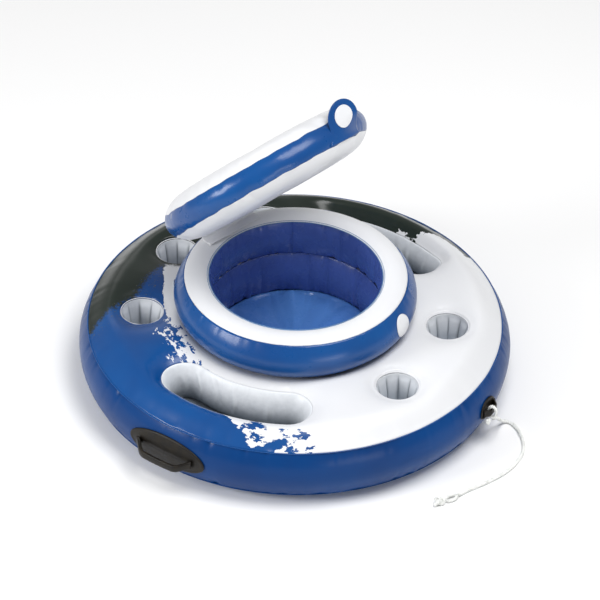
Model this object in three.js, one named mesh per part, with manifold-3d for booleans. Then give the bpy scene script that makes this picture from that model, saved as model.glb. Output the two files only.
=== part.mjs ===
// A round inflatable float with a built-in cooler: an air ring with drink wells and arc pockets, a raised
// collar round the cooler, an inflated lid on a fabric hinge with a latch tab, moulded handles, a tow rope.
// Millimetres, +Z up. The origin is the middle of the flat underside, and the tow fitting faces -Y.
import * as THREE from "three";
import { mergeVertices } from "three/addons/utils/BufferGeometryUtils.js";
import Module from "manifold-3d";

const wasm = await Module();
wasm.setup();

// Skins
const skin = 2; // vinyl wall, as built
const seamGap = 0.3; // clearance on each side of a seam
const ringSegments = 32;
const cutterLength = 80; // of the tools that cut holes through a skin

// Float ring
const floatRadius = 445; // widest line of the side wall
const floatSeamInset = 18.4; // the seams sit this far inside the widest line
const floatTopSeamHeight = 128;
const floatBottomSeamHeight = 22;
const floatCrownRise = 22; // the top skin stands this far above its seam
const floatShoulderWidth = 66;
const underfaceInset = 85; // the flat underside ends this far inside the widest line
const chineBulge = 8; // the turn from the underside to the side wall stands out this far
const chineShare = 0.35; // and its middle is this share of the way up to the seam

// Cooler and collar
const collarBaseRadius = 210;
const collarBaseRise = 2; // the skin rises a little towards the collar
const collarHeight = 95;
const collarFlare = 18.7; // the collar's top seam is this much wider than its base
const collarBulge = 30;
const collarBandCrown = 6;
const mouthRadius = 178.7;
const waistRadius = 182; // the seam between the two tiers of the liner
const waistRise = 13; // above the crown of the float
const linerBulge = 9;
const coolerFloorRadius = 173;
const coolerFloorHeight = 73;
const coolerFloorSag = 8;
const floorKneeRadiusShare = 0.6; // the floor's section bends here
const floorKneeSagShare = 0.8;

// Drink wells
const cupRadius = 43;
const cupFloorRadius = 33;
const cupDepth = 80;
const cupCircleInset = 3.5; // the wells sit this much nearer the collar than the middle of the top skin
const cupAngles = [20.5, -20.7, -151, 169.4, 129.8]; // from the tow fitting, degrees
const cupSegments = 16;

// Arc pockets
const pocketHalfWidth = 50;
const pocketFloorHalfWidth = 42;
const pocketHalfSpan = 30.5; // degrees, to the tip of the round end
const pocketDepth = 85;
const pocketCircleInset = 7;
const pocketAngles = [-85.9, 85];

// Handles
const handleAngles = { left: -97.8, right: 97.8 };
const handleHeight = 73;
const plateHalfLength = 93;
const plateHalfHeight = 38;
const plateThickness = 2.5;
const plateGap = 1; // the glue line between a plate and the bulging wall
const gripHalfBase = 66;
const gripLegShare = 0.42;
const gripProud = 20;
const gripThickness = 8;
const gripHalfHeight = 8;
const gripDroop = 7;

// Tow fitting: a small round plate with a short grip
const towHeight = 76;
const towPlateHalfLength = 30;
const towPlateHalfHeight = 22.5;
const towGripHalfBase = 22;
const towGripLegShare = 0.45;
const towGripProud = 9;
const towGripThickness = 5;
const towGripHalfHeight = 8;

// Lid
const lidRadius = 231;
const lidSeamInset = 9;
const lidBandHalfHeight = 24;
const lidDome = 28; // each face stands this far beyond its seam
const lidDomePower = 9; // higher is flatter in the middle
const lidFaceStops = [0, 0.5, 0.78, 0.9, 0.96, 1]; // where a face's section bends, middle to seam
const lidMidHeight = 53; // middle of the closed lid above the hinge line
const lidOverhang = 9; // the lid's edge reaches this far behind the hinge line
const hingeAngle = 161; // from the tow fitting, degrees
const hingeInset = 23.7; // inside the collar's top seam
const hingeRise = 3; // above the crown of the collar band
const lidOpenAngle = 47.7;
const webThickness = 2;
const webOffset = 75;
const webReachShare = 0.78; // of the lid's seam radius

// Latch
const tabHalfWidth = 52;
const tabNeckHalfWidth = 38;
const tabHeight = 82;
const tabThickness = 2;
const tabStandOff = 1.5;
const tabLean = 14; // degrees out from the band
const tabShoulderShare = 0.8; // the shoulders run up this share of the way to the round end
const discRadius = 23;
const discThickness = 1.5;
const discCentre = 47; // from the fold line
const patchShare = 0.68; // how far up the collar wall the patch sits

// Hinge strip
const stripHalfWidth = 70;
const stripThickness = 1.2;
const stripReach = 20;
const stripGap = 0.8;

// Air valves
const valveFlangeRadius = 13;
const valveFlangeThickness = 1.5;
const valveStemRadius = 8;
const valveStemLength = 12;
const valveBore = 5;
const plugRadius = 4.7;
const plugLength = 9;
const plugCapRadius = 8.5;
const plugCapThickness = 2.5;
const valveStandOff = 1.2;
const floatValveAngle = 152;
const collarValveAngle = 200;
const collarValveShare = 0.45; // how far up the collar wall
const lidValveInset = 62; // from the lid's seam, on the hinge side, midway between the webs

// Tow rope
const ropeDiameter = 7;
const ropeSides = 8;
const ropeSteps = 30;
const ropePoints = [
  [-3, -461, 55.5], [8, -460.5, 50], [22, -458.5, 38], [38, -456.5, 21], [52, -457.5, 8], [60, -464, 3.8],
  [58, -477, 3.8], [51, -490, 3.8], [41, -502, 3.8], [27, -515, 3.8], [11, -526, 3.8], [-7, -534, 3.8],
  [-25, -538, 3.8], [-57, -538, 3.8], [-89, -532, 3.8], [-120, -520, 3.8], [-148, -506, 3.8],
  [-175, -491, 3.8], [-197, -482, 3.8],
];
const hitchGap = 2; // round the tow grip
const hitchOffset = -6; // along the tow grip
const hitchKnotSize = [7, 5.5, 6.5];
const hitchKnotSlip = 11; // beside the hitch
const hitchKnotDrop = 18.5; // below the middle of the grip
const eyeHalfLength = 13;
const eyeHalfWidth = 6.5;
const endKnotSize = [13, 9, 8];
const ropeEndTurn = 150; // heading of the eye and the end knot from +X, degrees

// Derived places
const floatSeamRadius = floatRadius - floatSeamInset;
const floatMiddle = (floatTopSeamHeight + floatBottomSeamHeight) / 2;
const floatHalfHeight = (floatTopSeamHeight - floatBottomSeamHeight) / 2;
const crownHeight = floatTopSeamHeight + floatCrownRise;
const collarBaseHeight = crownHeight + collarBaseRise;
const collarSeamRadius = collarBaseRadius + collarFlare;
const collarSeamHeight = collarBaseHeight + collarHeight;
const waistHeight = crownHeight + waistRise;
const skinMiddleRadius = (collarBaseRadius + floatSeamRadius) / 2;
const cupCircleRadius = skinMiddleRadius - cupCircleInset;
const pocketCircleRadius = skinMiddleRadius - pocketCircleInset;
const hingeRadius = collarSeamRadius - hingeInset;
const hingeHeight = collarSeamHeight + collarBandCrown + hingeRise;
const lidReach = lidRadius - lidOverhang;
const lidSeamRadius = lidRadius - lidSeamInset;
const ropeRadius = ropeDiameter / 2;

const radians = THREE.MathUtils.degToRad;
const fromTow = (degrees) => radians(degrees - 90); // angle from the tow fitting to angle from +X
const shares = (count) => Array.from({ length: count + 1 }, (_, i) => i / count);
const between = (a, b, t) => a + (b - a) * t;

const vinylBlue = new THREE.MeshStandardMaterial({ color: 0x14559a, roughness: 0.32, metalness: 0 });
const linerBlue = new THREE.MeshStandardMaterial({ color: 0x1d3f8f, roughness: 0.35, metalness: 0 });
const vinylWhite = new THREE.MeshStandardMaterial({ color: 0xf2f3f5, roughness: 0.38, metalness: 0 });
const wellGrey = new THREE.MeshStandardMaterial({ color: 0xd5dae0, roughness: 0.4, metalness: 0 });
const webClear = new THREE.MeshStandardMaterial({ color: 0xdfe6ee, roughness: 0.4, metalness: 0 });
const handleBlack = new THREE.MeshStandardMaterial({ color: 0x16140f, roughness: 0.6, metalness: 0 });
const ropeWhite = new THREE.MeshStandardMaterial({ color: 0xf0f1ee, roughness: 0.85, metalness: 0 });
const valveWhite = new THREE.MeshStandardMaterial({ color: 0xe4e8ec, roughness: 0.35, metalness: 0 });

// ---- Geometry tools ----

// A closed geometry with shared vertices, no collapsed triangles, and its faces outward.
function closed(geometry) {
  for (const name of ["normal", "uv"]) geometry.deleteAttribute(name);
  const merged = mergeVertices(geometry, 1e-3);
  const position = merged.attributes.position;
  const corners = [0, 1, 2].map(() => new THREE.Vector3());
  const faces = [];
  let volume = 0;
  for (let i = 0; i < merged.index.count; i += 3) {
    const face = [0, 1, 2].map((k) => merged.index.getX(i + k));
    if (new Set(face).size < 3) continue;
    face.forEach((vertex, k) => corners[k].fromBufferAttribute(position, vertex));
    volume += corners[0].dot(corners[1].cross(corners[2]));
    faces.push(face);
  }
  merged.setIndex(faces.flatMap((face) => (volume < 0 ? face.toReversed() : face)));
  return merged;
}

function solid(geometry) {
  const mesh = closed(geometry);
  return new wasm.Manifold(
    new wasm.Mesh({
      numProp: 3,
      vertProperties: mesh.attributes.position.array,
      triVerts: new Uint32Array(mesh.index.array),
    }),
  );
}

function geometryOf(manifold) {
  const mesh = manifold.getMesh();
  return new THREE.BufferGeometry()
    .setAttribute("position", new THREE.BufferAttribute(mesh.vertProperties, 3))
    .setIndex(new THREE.BufferAttribute(mesh.triVerts, 1));
}

const cut = (geometry, cutters) =>
  geometryOf(cutters.reduce((rest, cutter) => rest.subtract(solid(cutter)), solid(geometry)));

// A solid of revolution about Z, from a half section of [radius, height] points.
function revolve(outline, segments = ringSegments) {
  const points = outline.map(([r, z]) => new THREE.Vector2(r, z));
  const onAxis = outline[0][0] === 0 && outline.at(-1)[0] === 0;
  if (!onAxis) points.push(points[0].clone());
  return closed(new THREE.LatheGeometry(points, segments).rotateX(Math.PI / 2));
}

// A mesh from rows of points, joined row to row. The last row joins the first, and each row closes on itself.
function loopLoft(rows) {
  const width = rows[0].length;
  const faces = [];
  rows.forEach((_, j) => {
    const next = (j + 1) % rows.length;
    for (let i = 0; i < width; i++) {
      const k = (i + 1) % width;
      faces.push(j * width + i, j * width + k, next * width + k);
      faces.push(j * width + i, next * width + k, next * width + i);
    }
  });
  return closed(fromPoints(rows.flat(), faces));
}

function fromPoints(points, faces) {
  return new THREE.BufferGeometry()
    .setAttribute("position", new THREE.Float32BufferAttribute(points.flatMap((p) => p.toArray()), 3))
    .setIndex(faces);
}

// A slab between two faces, each a function of u and v from -1 to 1 that gives a point.
function slab(front, back, columns, rows) {
  const edge = (count) => shares(count).map((t) => 2 * t - 1);
  const grid = (face) => edge(rows).map((v) => edge(columns).map((u) => face(u, v)));
  const rowsOf = (g, h) => g.map((row, j) => [...row, ...h[j].toReversed()]);
  const loops = rowsOf(grid(front), grid(back));
  const width = loops[0].length;
  const faces = [];
  for (let j = 0; j < rows; j++)
    for (let i = 0; i < width; i++) {
      const k = (i + 1) % width;
      faces.push(j * width + i, j * width + k, (j + 1) * width + k);
      faces.push(j * width + i, (j + 1) * width + k, (j + 1) * width + i);
    }
  for (const [row, turn] of [[0, 1], [rows, 0]])
    for (let i = 0; i < columns; i++) {
      const a = row * width + i;
      const b = row * width + width - 1 - i;
      const quad = [a, a + 1, b - 1, b];
      const [p, q, r, s] = turn ? quad.toReversed() : quad;
      faces.push(p, q, r, p, r, s);
    }
  return closed(fromPoints(loops.flat(), faces));
}

// ---- Walls of an air chamber ----
// A chamber's half section is a run of walls, each a list of [radius, height] points that starts where the
// last one ended. The chamber lies on the left of the run, and each wall's thickness goes to that side.

const subtract = (a, b) => [a[0] - b[0], a[1] - b[1]];
const along = (a, d, s) => [a[0] + d[0] * s, a[1] + d[1] * s];

function unit(a) {
  const length = Math.hypot(a[0], a[1]);
  return [a[0] / length, a[1] / length];
}

function leftNormal(a, b) {
  const [x, y] = unit(subtract(b, a));
  return [-y, x];
}

// The point inside the wall at run[i], on the bisector of its two edges.
function insidePoint(run, i) {
  const normals = [];
  if (i > 0) normals.push(leftNormal(run[i - 1], run[i]));
  if (i < run.length - 1) normals.push(leftNormal(run[i], run[i + 1]));
  if (run[i][0] === 0) return [0, run[i][1] + skin * Math.sign(normals[0][1])];
  const bisector = unit(normals.reduce((sum, n) => along(sum, n, 1), [0, 0]));
  const share = bisector[0] * normals[0][0] + bisector[1] * normals[0][1];
  return along(run[i], bisector, skin / Math.max(share, 0.5));
}

// The outlines of a run's walls, one for each, held apart at their seams.
function chamberWalls(walls) {
  const run = walls.flatMap((wall, i) => (i ? wall.slice(1) : wall));
  const inside = run.map((_, i) => insidePoint(run, i));
  let start = 0;
  return walls.map((wall) => {
    const end = start + wall.length - 1;
    const outer = run.slice(start, end + 1);
    const inner = inside.slice(start, end + 1);
    start = end;
    trimEnd(outer, inner);
    outer.reverse();
    inner.reverse();
    trimEnd(outer, inner);
    return [...outer.reverse(), ...inner];
  });
}

function trimEnd(outer, inner) {
  const last = outer.length - 1;
  if (outer[last][0] === 0) return;
  const back = unit(subtract(outer[last - 1], outer[last]));
  outer[last] = along(outer[last], back, seamGap);
  inner[last] = along(inner[last], back, seamGap);
}

// A wall between two seams that bulges to the right of the run, in `steps` steps.
const bulgingWall = (a, b, bulge, steps) =>
  shares(steps).map((t) => {
    const out = leftNormal(a, b);
    const point = [between(a[0], b[0], t), between(a[1], b[1], t)];
    return along(point, out, -bulge * 4 * t * (1 - t));
  });

// ---- Float ring, cooler and collar ----

function sideWallRadius(height) {
  const share = (height - floatMiddle) / floatHalfHeight;
  return floatRadius - floatSeamInset * share * share;
}

const floatSideWall = shares(6).map((t) => {
  const height = between(floatBottomSeamHeight, floatTopSeamHeight, t);
  return [sideWallRadius(height), height];
});
const floatBottom = [
  [0, 0],
  [floatRadius - underfaceInset, 0],
  [(floatRadius - underfaceInset + floatSeamRadius) / 2 + chineBulge, floatBottomSeamHeight * chineShare],
  [floatSeamRadius, floatBottomSeamHeight],
];
const floatShoulder = shares(4).map((t) => [
  floatSeamRadius - floatShoulderWidth * t,
  floatTopSeamHeight + floatCrownRise * (1 - (1 - t) ** 2),
]);
const floatTop = [
  ...floatShoulder,
  [collarBaseRadius, collarBaseHeight],
  [waistRadius, waistHeight],
];
const lowerLiner = bulgingWall(
  [waistRadius, waistHeight],
  [coolerFloorRadius, coolerFloorHeight],
  linerBulge,
  4,
);
const coolerFloor = [
  [coolerFloorRadius, coolerFloorHeight],
  [coolerFloorRadius * floorKneeRadiusShare, coolerFloorHeight - coolerFloorSag * floorKneeSagShare],
  [0, coolerFloorHeight - coolerFloorSag],
];

const collarGap = 2 * seamGap;
const collarBase = [collarBaseRadius, collarBaseHeight + collarGap];
const collarSeam = [collarSeamRadius, collarSeamHeight];
const collarMouth = [mouthRadius, collarSeamHeight];
const collarWall = bulgingWall(collarBase, collarSeam, collarBulge, 6);
const collarBand = bulgingWall(collarSeam, collarMouth, collarBandCrown, 4);
const upperLiner = bulgingWall(collarMouth, [waistRadius, waistHeight + collarGap], linerBulge, 4);

// A point on the collar's outer wall, `share` of the way up, as [radius, height].
function onCollarWall(share) {
  const out = leftNormal(collarBase, collarSeam);
  const chord = [between(collarBase[0], collarSeam[0], share), between(collarBase[1], collarSeam[1], share)];
  return along(chord, out, -collarBulge * 4 * share * (1 - share));
}

function collarWallTilt(share) {
  const [a, b] = [onCollarWall(share - 0.05), onCollarWall(share + 0.05)];
  return Math.atan2(a[0] - b[0], b[1] - a[1]);
}

// ---- Drink wells and pockets ----

const cupWalls = chamberWalls([
  [
    [cupRadius, crownHeight],
    [cupRadius - 1, crownHeight - 10],
    [(cupRadius + cupFloorRadius) / 2 - 2, crownHeight - cupDepth / 2],
    [cupFloorRadius, crownHeight - cupDepth],
  ],
  [
    [cupFloorRadius, crownHeight - cupDepth],
    [0, crownHeight - cupDepth],
  ],
]);

const cupPlace = (degrees) =>
  new THREE.Vector3(cupCircleRadius, 0, 0).applyAxisAngle(new THREE.Vector3(0, 0, 1), fromTow(degrees));

// The plan of a pocket about its centre line: two arcs and two round ends.
function pocketOutline(halfWidth) {
  const tip = Math.asin(pocketHalfWidth / pocketCircleRadius);
  const half = radians(pocketHalfSpan) - tip;
  const arc = (radius, from, to) =>
    shares(6).map((t) => {
      const angle = between(from, to, t);
      return new THREE.Vector2(radius * Math.cos(angle), radius * Math.sin(angle));
    });
  const end = (side) =>
    shares(6).slice(1, -1).map((t) => {
      const turn = side > 0 ? t * Math.PI : Math.PI + t * Math.PI;
      const centre = new THREE.Vector2(Math.cos(side * half), Math.sin(side * half));
      const around = side * half + turn;
      return centre
        .multiplyScalar(pocketCircleRadius)
        .add(new THREE.Vector2(Math.cos(around), Math.sin(around)).multiplyScalar(halfWidth));
    });
  return [
    ...arc(pocketCircleRadius + halfWidth, -half, half),
    ...end(1),
    ...arc(pocketCircleRadius - halfWidth, half, -half),
    ...end(-1),
  ];
}

const atHeight = (outline, z) => outline.map((p) => new THREE.Vector3(p.x, p.y, z));

function pocketSleeve() {
  const floor = crownHeight - pocketDepth;
  const inner = [pocketHalfWidth, pocketFloorHalfWidth].map(pocketOutline);
  const outer = [pocketFloorHalfWidth + skin, pocketHalfWidth + skin].map(pocketOutline);
  return loopLoft([
    atHeight(inner[0], crownHeight),
    atHeight(inner[1], floor),
    atHeight(outer[0], floor),
    atHeight(outer[1], crownHeight),
  ]);
}

function pocketPlate(halfWidth, bottom, height) {
  const shape = new THREE.Shape(pocketOutline(halfWidth));
  return closed(
    new THREE.ExtrudeGeometry(shape, { depth: height, bevelEnabled: false }).translate(0, 0, bottom),
  );
}

const pocketFloor = () =>
  pocketPlate(pocketFloorHalfWidth - seamGap, crownHeight - pocketDepth + seamGap, skin);

function topSkinCutters() {
  const cups = cupAngles.map((degrees) => {
    const { x, y } = cupPlace(degrees);
    const radius = cupRadius + skin + seamGap;
    return new THREE.CylinderGeometry(radius, radius, cutterLength, cupSegments)
      .rotateX(Math.PI / 2)
      .rotateZ(fromTow(degrees))
      .translate(x, y, crownHeight);
  });
  const pockets = pocketAngles.map((degrees) =>
    pocketPlate(pocketHalfWidth + skin + 2 * seamGap, crownHeight - cutterLength / 2, cutterLength).rotateZ(
      fromTow(degrees),
    ),
  );
  return [...cups, ...pockets];
}

// ---- Handles ----

// A point on the side wall: `arc` along it from the handle's middle, at a height, standing proud of it.
function onSideWall(arc, height, proud) {
  const angle = arc / floatRadius;
  const radius = sideWallRadius(height) + proud;
  return new THREE.Vector3(radius * Math.cos(angle), radius * Math.sin(angle), height);
}

function handlePlate({ height, plateLength, plateHeight }) {
  const face = (proud) => (u, v) =>
    onSideWall(
      plateLength * u * Math.sqrt(1 - (v * v) / 2),
      height + plateHeight * v * Math.sqrt(1 - (u * u) / 2),
      proud,
    );
  return slab(face(plateGap + plateThickness), face(plateGap), 10, 4);
}

const gripBackRadius = floatRadius + plateGap + plateThickness + seamGap;

function handleGrip({ height, halfBase, legShare, proud, thickness, halfHeight, droop }) {
  const face = (depth) => (u, v) => {
    const rise = Math.min(1, (1 - Math.abs(u)) / legShare);
    const radius = gripBackRadius + proud * rise + depth;
    const angle = (halfBase * u) / floatRadius;
    const z = height - droop * rise + halfHeight * v;
    return new THREE.Vector3(radius * Math.cos(angle), radius * Math.sin(angle), z);
  };
  return slab(face(thickness), face(0), 14, 1);
}

// ---- Lid, in a frame on the hinge line: +X along the hinge, +Y across the closed lid, +Z up ----

const lidBottomSeam = [lidSeamRadius, -lidBandHalfHeight];
const lidTopSeam = [lidSeamRadius, lidBandHalfHeight];

const lidDomeAt = (radius) => lidBandHalfHeight + lidDome * (1 - (radius / lidSeamRadius) ** lidDomePower);

function lidFace(side) {
  return lidFaceStops.map((t) => [lidSeamRadius * t, side * lidDomeAt(lidSeamRadius * t)]);
}

const lidWalls = chamberWalls([
  lidFace(-1),
  bulgingWall(lidBottomSeam, lidTopSeam, lidSeamInset, 4),
  lidFace(1).reverse(),
]);

const lidFrontAngle = radians(90 + 180 - hingeAngle); // the latch side, round the lid from its +X

function lidWeb(offset) {
  const reach = lidSeamRadius * webReachShare;
  const halfLength = Math.sqrt(reach * reach - offset * offset);
  const halfHeight = lidDomeAt(reach) - 2 * skin;
  return new THREE.BoxGeometry(webThickness, 2 * halfLength, 2 * halfHeight).translate(offset, 0, 0);
}

// ---- Latch tab, in a frame on its fold line: +X along the fold, +Z up the tab, +Y towards the band ----

function tabHalfWidthAt(height) {
  const roundStart = tabHeight - tabNeckHalfWidth;
  const shoulder = Math.min(1, height / (roundStart * tabShoulderShare));
  const straight = between(tabHalfWidth, tabNeckHalfWidth, Math.sin((shoulder * Math.PI) / 2));
  const past = Math.max(0, height - roundStart);
  return straight * Math.sqrt(Math.max(0.01, 1 - (past / tabNeckHalfWidth) ** 2));
}

function latchTab() {
  const face = (depth) => (u, v) => {
    const height = tabHeight * Math.sin((((v + 1) / 2) * Math.PI) / 2);
    return new THREE.Vector3(u * tabHalfWidthAt(height), depth, height);
  };
  return slab(face(-tabThickness), face(0), 6, 9);
}

function disc(radius, thickness) {
  return closed(new THREE.CylinderGeometry(radius, radius, thickness, 20));
}

// ---- Valves ----

const valveBody = () =>
  revolve(
    [
      [valveBore, -valveStemLength],
      [valveStemRadius, -valveStemLength],
      [valveStemRadius, valveStandOff],
      [valveFlangeRadius, valveStandOff],
      [valveFlangeRadius, valveStandOff + valveFlangeThickness],
      [valveBore, valveStandOff + valveFlangeThickness],
    ],
    16,
  );

const valvePlug = () => {
  const face = valveStandOff + valveFlangeThickness + seamGap;
  return revolve(
    [
      [0, face - plugLength],
      [plugRadius, face - plugLength],
      [plugRadius, face],
      [plugCapRadius, face],
      [plugCapRadius, face + plugCapThickness],
      [0, face + plugCapThickness],
    ],
    16,
  );
};

function valveCutter() {
  const radius = valveStemRadius + seamGap;
  return new THREE.CylinderGeometry(radius, radius, cutterLength / 2, 16).rotateX(Math.PI / 2);
}

// The frame of a valve: +Z out of the skin, at a point in a half section turned to `angle`.
function valveFrame(angle, [radius, height], outward) {
  const tilt = new THREE.Matrix4().makeRotationY(Math.PI / 2 - outward);
  return new THREE.Matrix4()
    .makeRotationZ(angle)
    .multiply(new THREE.Matrix4().makeTranslation(radius, 0, height))
    .multiply(tilt);
}

const floatValve = valveFrame(fromTow(floatValveAngle), [floatRadius, floatMiddle], 0);
const collarValve = valveFrame(
  fromTow(collarValveAngle),
  onCollarWall(collarValveShare),
  collarWallTilt(collarValveShare),
);
const lidValveRadius = lidSeamRadius - lidValveInset;
const lidValveSlope = Math.atan((lidDomeAt(lidValveRadius - 1) - lidDomeAt(lidValveRadius + 1)) / 2);
const lidValve = valveFrame(
  -Math.PI / 2,
  [lidValveRadius, lidDomeAt(lidValveRadius)],
  Math.PI / 2 - lidValveSlope,
);

// ---- Tow rope ----

function towRope() {
  const route = new THREE.CatmullRomCurve3(ropePoints.map((p) => new THREE.Vector3(...p)));
  const section = new THREE.Shape(
    shares(ropeSides).slice(1).map((t) => {
      const angle = t * 2 * Math.PI;
      return new THREE.Vector2(ropeRadius * Math.cos(angle), ropeRadius * Math.sin(angle));
    }),
  );
  return closed(
    new THREE.ExtrudeGeometry(section, { steps: ropeSteps, bevelEnabled: false, extrudePath: route }),
  );
}

// A closed ring of rope about an oval, lying in the XY plane.
function ropeRing(halfLength, halfWidth, radius) {
  const rows = shares(20).slice(1).map((t) => {
    const angle = t * 2 * Math.PI;
    const [c, s] = [Math.cos(angle), Math.sin(angle)];
    const out = new THREE.Vector3(c / halfLength, s / halfWidth, 0).normalize();
    return shares(ropeSides).slice(1).map((q) => {
      const turn = q * 2 * Math.PI;
      return new THREE.Vector3(halfLength * c, halfWidth * s, radius * Math.sin(turn)).addScaledVector(
        out,
        radius * Math.cos(turn),
      );
    });
  });
  return loopLoft(rows);
}

const knot = ([x, y, z]) => closed(new THREE.SphereGeometry(1, 12, 8).scale(x, y, z));

// ---- Assembly ----

const part = new THREE.Group();

function add(parent, name, geometry, material) {
  const mesh = new THREE.Mesh(geometry, material);
  mesh.name = name;
  parent.add(mesh);
  return mesh;
}

function group(parent, matrix) {
  const made = new THREE.Group();
  made.applyMatrix4(matrix);
  parent.add(made);
  return made;
}

function addFloat() {
  const [bottom, side, top, liner, floor] = chamberWalls([
    floatBottom,
    floatSideWall,
    floatTop,
    lowerLiner,
    coolerFloor,
  ]).map((outline) => revolve(outline));
  add(part, "float_bottom_skin", bottom, vinylBlue);
  add(part, "float_side_wall", cut(side, [valveCutter().applyMatrix4(floatValve)]), vinylBlue);
  add(part, "float_top_skin", cut(top, topSkinCutters()), vinylWhite);
  add(part, "cooler_liner_lower", liner, linerBlue);
  add(part, "cooler_floor", floor, linerBlue);
}

function addCollar() {
  const outlines = chamberWalls([collarWall, collarBand, upperLiner]);
  const [wall, band, liner] = outlines.map((outline) => revolve(outline));
  add(part, "collar_outer_wall", cut(wall, [valveCutter().applyMatrix4(collarValve)]), vinylBlue);
  add(part, "collar_top_band", band, vinylWhite);
  add(part, "cooler_liner_upper", liner, linerBlue);
  const patch = add(part, "latch_patch", disc(discRadius, discThickness), vinylWhite);
  const [radius, height] = onCollarWall(patchShare);
  const tilt = collarWallTilt(patchShare);
  const outward = seamGap + discThickness / 2;
  patch.position.set(0, -(radius + outward * Math.cos(tilt)), height + outward * Math.sin(tilt));
  patch.rotation.x = -tilt;
}

function addWells() {
  cupAngles.forEach((degrees, i) => {
    const well = group(part, new THREE.Matrix4().makeTranslation(cupPlace(degrees)));
    well.rotation.z = fromTow(degrees);
    const [sleeve, floor] = cupWalls.map((outline) => revolve(outline, cupSegments));
    add(well, `cup_sleeve_${i + 1}`, sleeve, wellGrey);
    add(well, `cup_floor_${i + 1}`, floor, wellGrey);
  });
  pocketAngles.forEach((degrees, i) => {
    const well = group(part, new THREE.Matrix4().makeRotationZ(fromTow(degrees)));
    add(well, `pocket_sleeve_${i + 1}`, pocketSleeve(), vinylWhite);
    add(well, `pocket_floor_${i + 1}`, pocketFloor(), wellGrey);
  });
}

const sideHandle = {
  height: handleHeight,
  plateLength: plateHalfLength,
  plateHeight: plateHalfHeight,
  halfBase: gripHalfBase,
  legShare: gripLegShare,
  proud: gripProud,
  thickness: gripThickness,
  halfHeight: gripHalfHeight,
  droop: gripDroop,
};
const towFitting = {
  height: towHeight,
  plateLength: towPlateHalfLength,
  plateHeight: towPlateHalfHeight,
  halfBase: towGripHalfBase,
  legShare: towGripLegShare,
  proud: towGripProud,
  thickness: towGripThickness,
  halfHeight: towGripHalfHeight,
  droop: 0,
};

function addHandle(name, degrees, size) {
  const place = group(part, new THREE.Matrix4().makeRotationZ(fromTow(degrees)));
  add(place, `${name}_plate`, handlePlate(size), handleBlack);
  add(place, `${name}_grip`, handleGrip(size), handleBlack);
}

function addHandles() {
  Object.entries(handleAngles).forEach(([side, degrees]) => addHandle(`handle_${side}`, degrees, sideHandle));
  addHandle("tow", 0, towFitting);
}

function addValve(parent, name, frame) {
  const place = group(parent, frame);
  add(place, `${name}_valve_body`, valveBody(), valveWhite);
  add(place, `${name}_valve_plug`, valvePlug(), valveWhite);
}

function addRope() {
  add(part, "tow_rope", towRope(), ropeWhite);
  const gripMiddle = gripBackRadius + towGripProud + towGripThickness / 2;
  const clear = ropeRadius + hitchGap;
  const ring = ropeRing(towGripHalfHeight + clear, towGripThickness / 2 + clear, ropeRadius);
  const hitch = add(part, "rope_hitch", ring.rotateY(Math.PI / 2), ropeWhite);
  hitch.position.set(hitchOffset, -gripMiddle, towHeight);
  const hitchKnot = add(part, "rope_hitch_knot", knot(hitchKnotSize), ropeWhite);
  const knotRadius = gripBackRadius + hitchKnotSize[1] + ropeRadius / 2;
  hitchKnot.position.set(hitchOffset - hitchKnotSlip, -knotRadius, towHeight - hitchKnotDrop);

  const tail = group(part, new THREE.Matrix4().makeTranslation(...ropePoints.at(-1)));
  tail.rotation.z = radians(ropeEndTurn);
  const eyeReach = eyeHalfLength + ropeRadius + seamGap;
  const eye = add(tail, "rope_eye", ropeRing(eyeHalfLength, eyeHalfWidth, ropeRadius), ropeWhite);
  eye.position.x = eyeReach;
  const endKnot = add(tail, "rope_end_knot", knot(endKnotSize), ropeWhite);
  endKnot.position.set(2 * eyeReach + endKnotSize[0], 0, endKnotSize[2] - ropePoints.at(-1)[2]);
}

// The two halves of the hinge strip: one lies on the collar band, one stands up to the lid's lower seam.
function hingeStripOnCollar() {
  const middle = stripGap + stripReach / 2;
  return new THREE.BoxGeometry(2 * stripHalfWidth, stripReach, stripThickness).translate(
    0,
    middle,
    stripThickness - hingeRise,
  );
}

function hingeStripOnLid() {
  const rise = lidMidHeight - lidBandHalfHeight - 2 * stripGap;
  return new THREE.BoxGeometry(2 * stripHalfWidth, stripThickness, rise).translate(
    0,
    lidReach - lidSeamRadius - stripThickness,
    stripGap + rise / 2,
  );
}

function addLid() {
  const place = new THREE.Matrix4()
    .makeRotationZ(fromTow(hingeAngle))
    .multiply(new THREE.Matrix4().makeTranslation(hingeRadius, 0, hingeHeight))
    .multiply(new THREE.Matrix4().makeRotationZ(Math.PI / 2));
  const hinge = group(part, place);
  add(hinge, "hinge_strip_collar", hingeStripOnCollar(), vinylWhite);

  const lid = group(hinge, new THREE.Matrix4().makeRotationX(radians(lidOpenAngle)));
  const [bottom, band, top] = lidWalls.map((outline) => revolve(outline));
  add(lid, "hinge_strip_lid", hingeStripOnLid(), vinylWhite);
  const middle = group(lid, new THREE.Matrix4().makeTranslation(0, lidReach, lidMidHeight));
  add(middle, "lid_bottom_skin", bottom, vinylWhite);
  add(middle, "lid_side_band", band, vinylBlue);
  add(middle, "lid_top_skin", cut(top, [valveCutter().applyMatrix4(lidValve)]), vinylWhite);
  add(middle, "lid_web_1", lidWeb(-webOffset), webClear);
  add(middle, "lid_web_2", lidWeb(webOffset), webClear);
  addValve(middle, "lid", lidValve);
  addLatch(middle);
}

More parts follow.
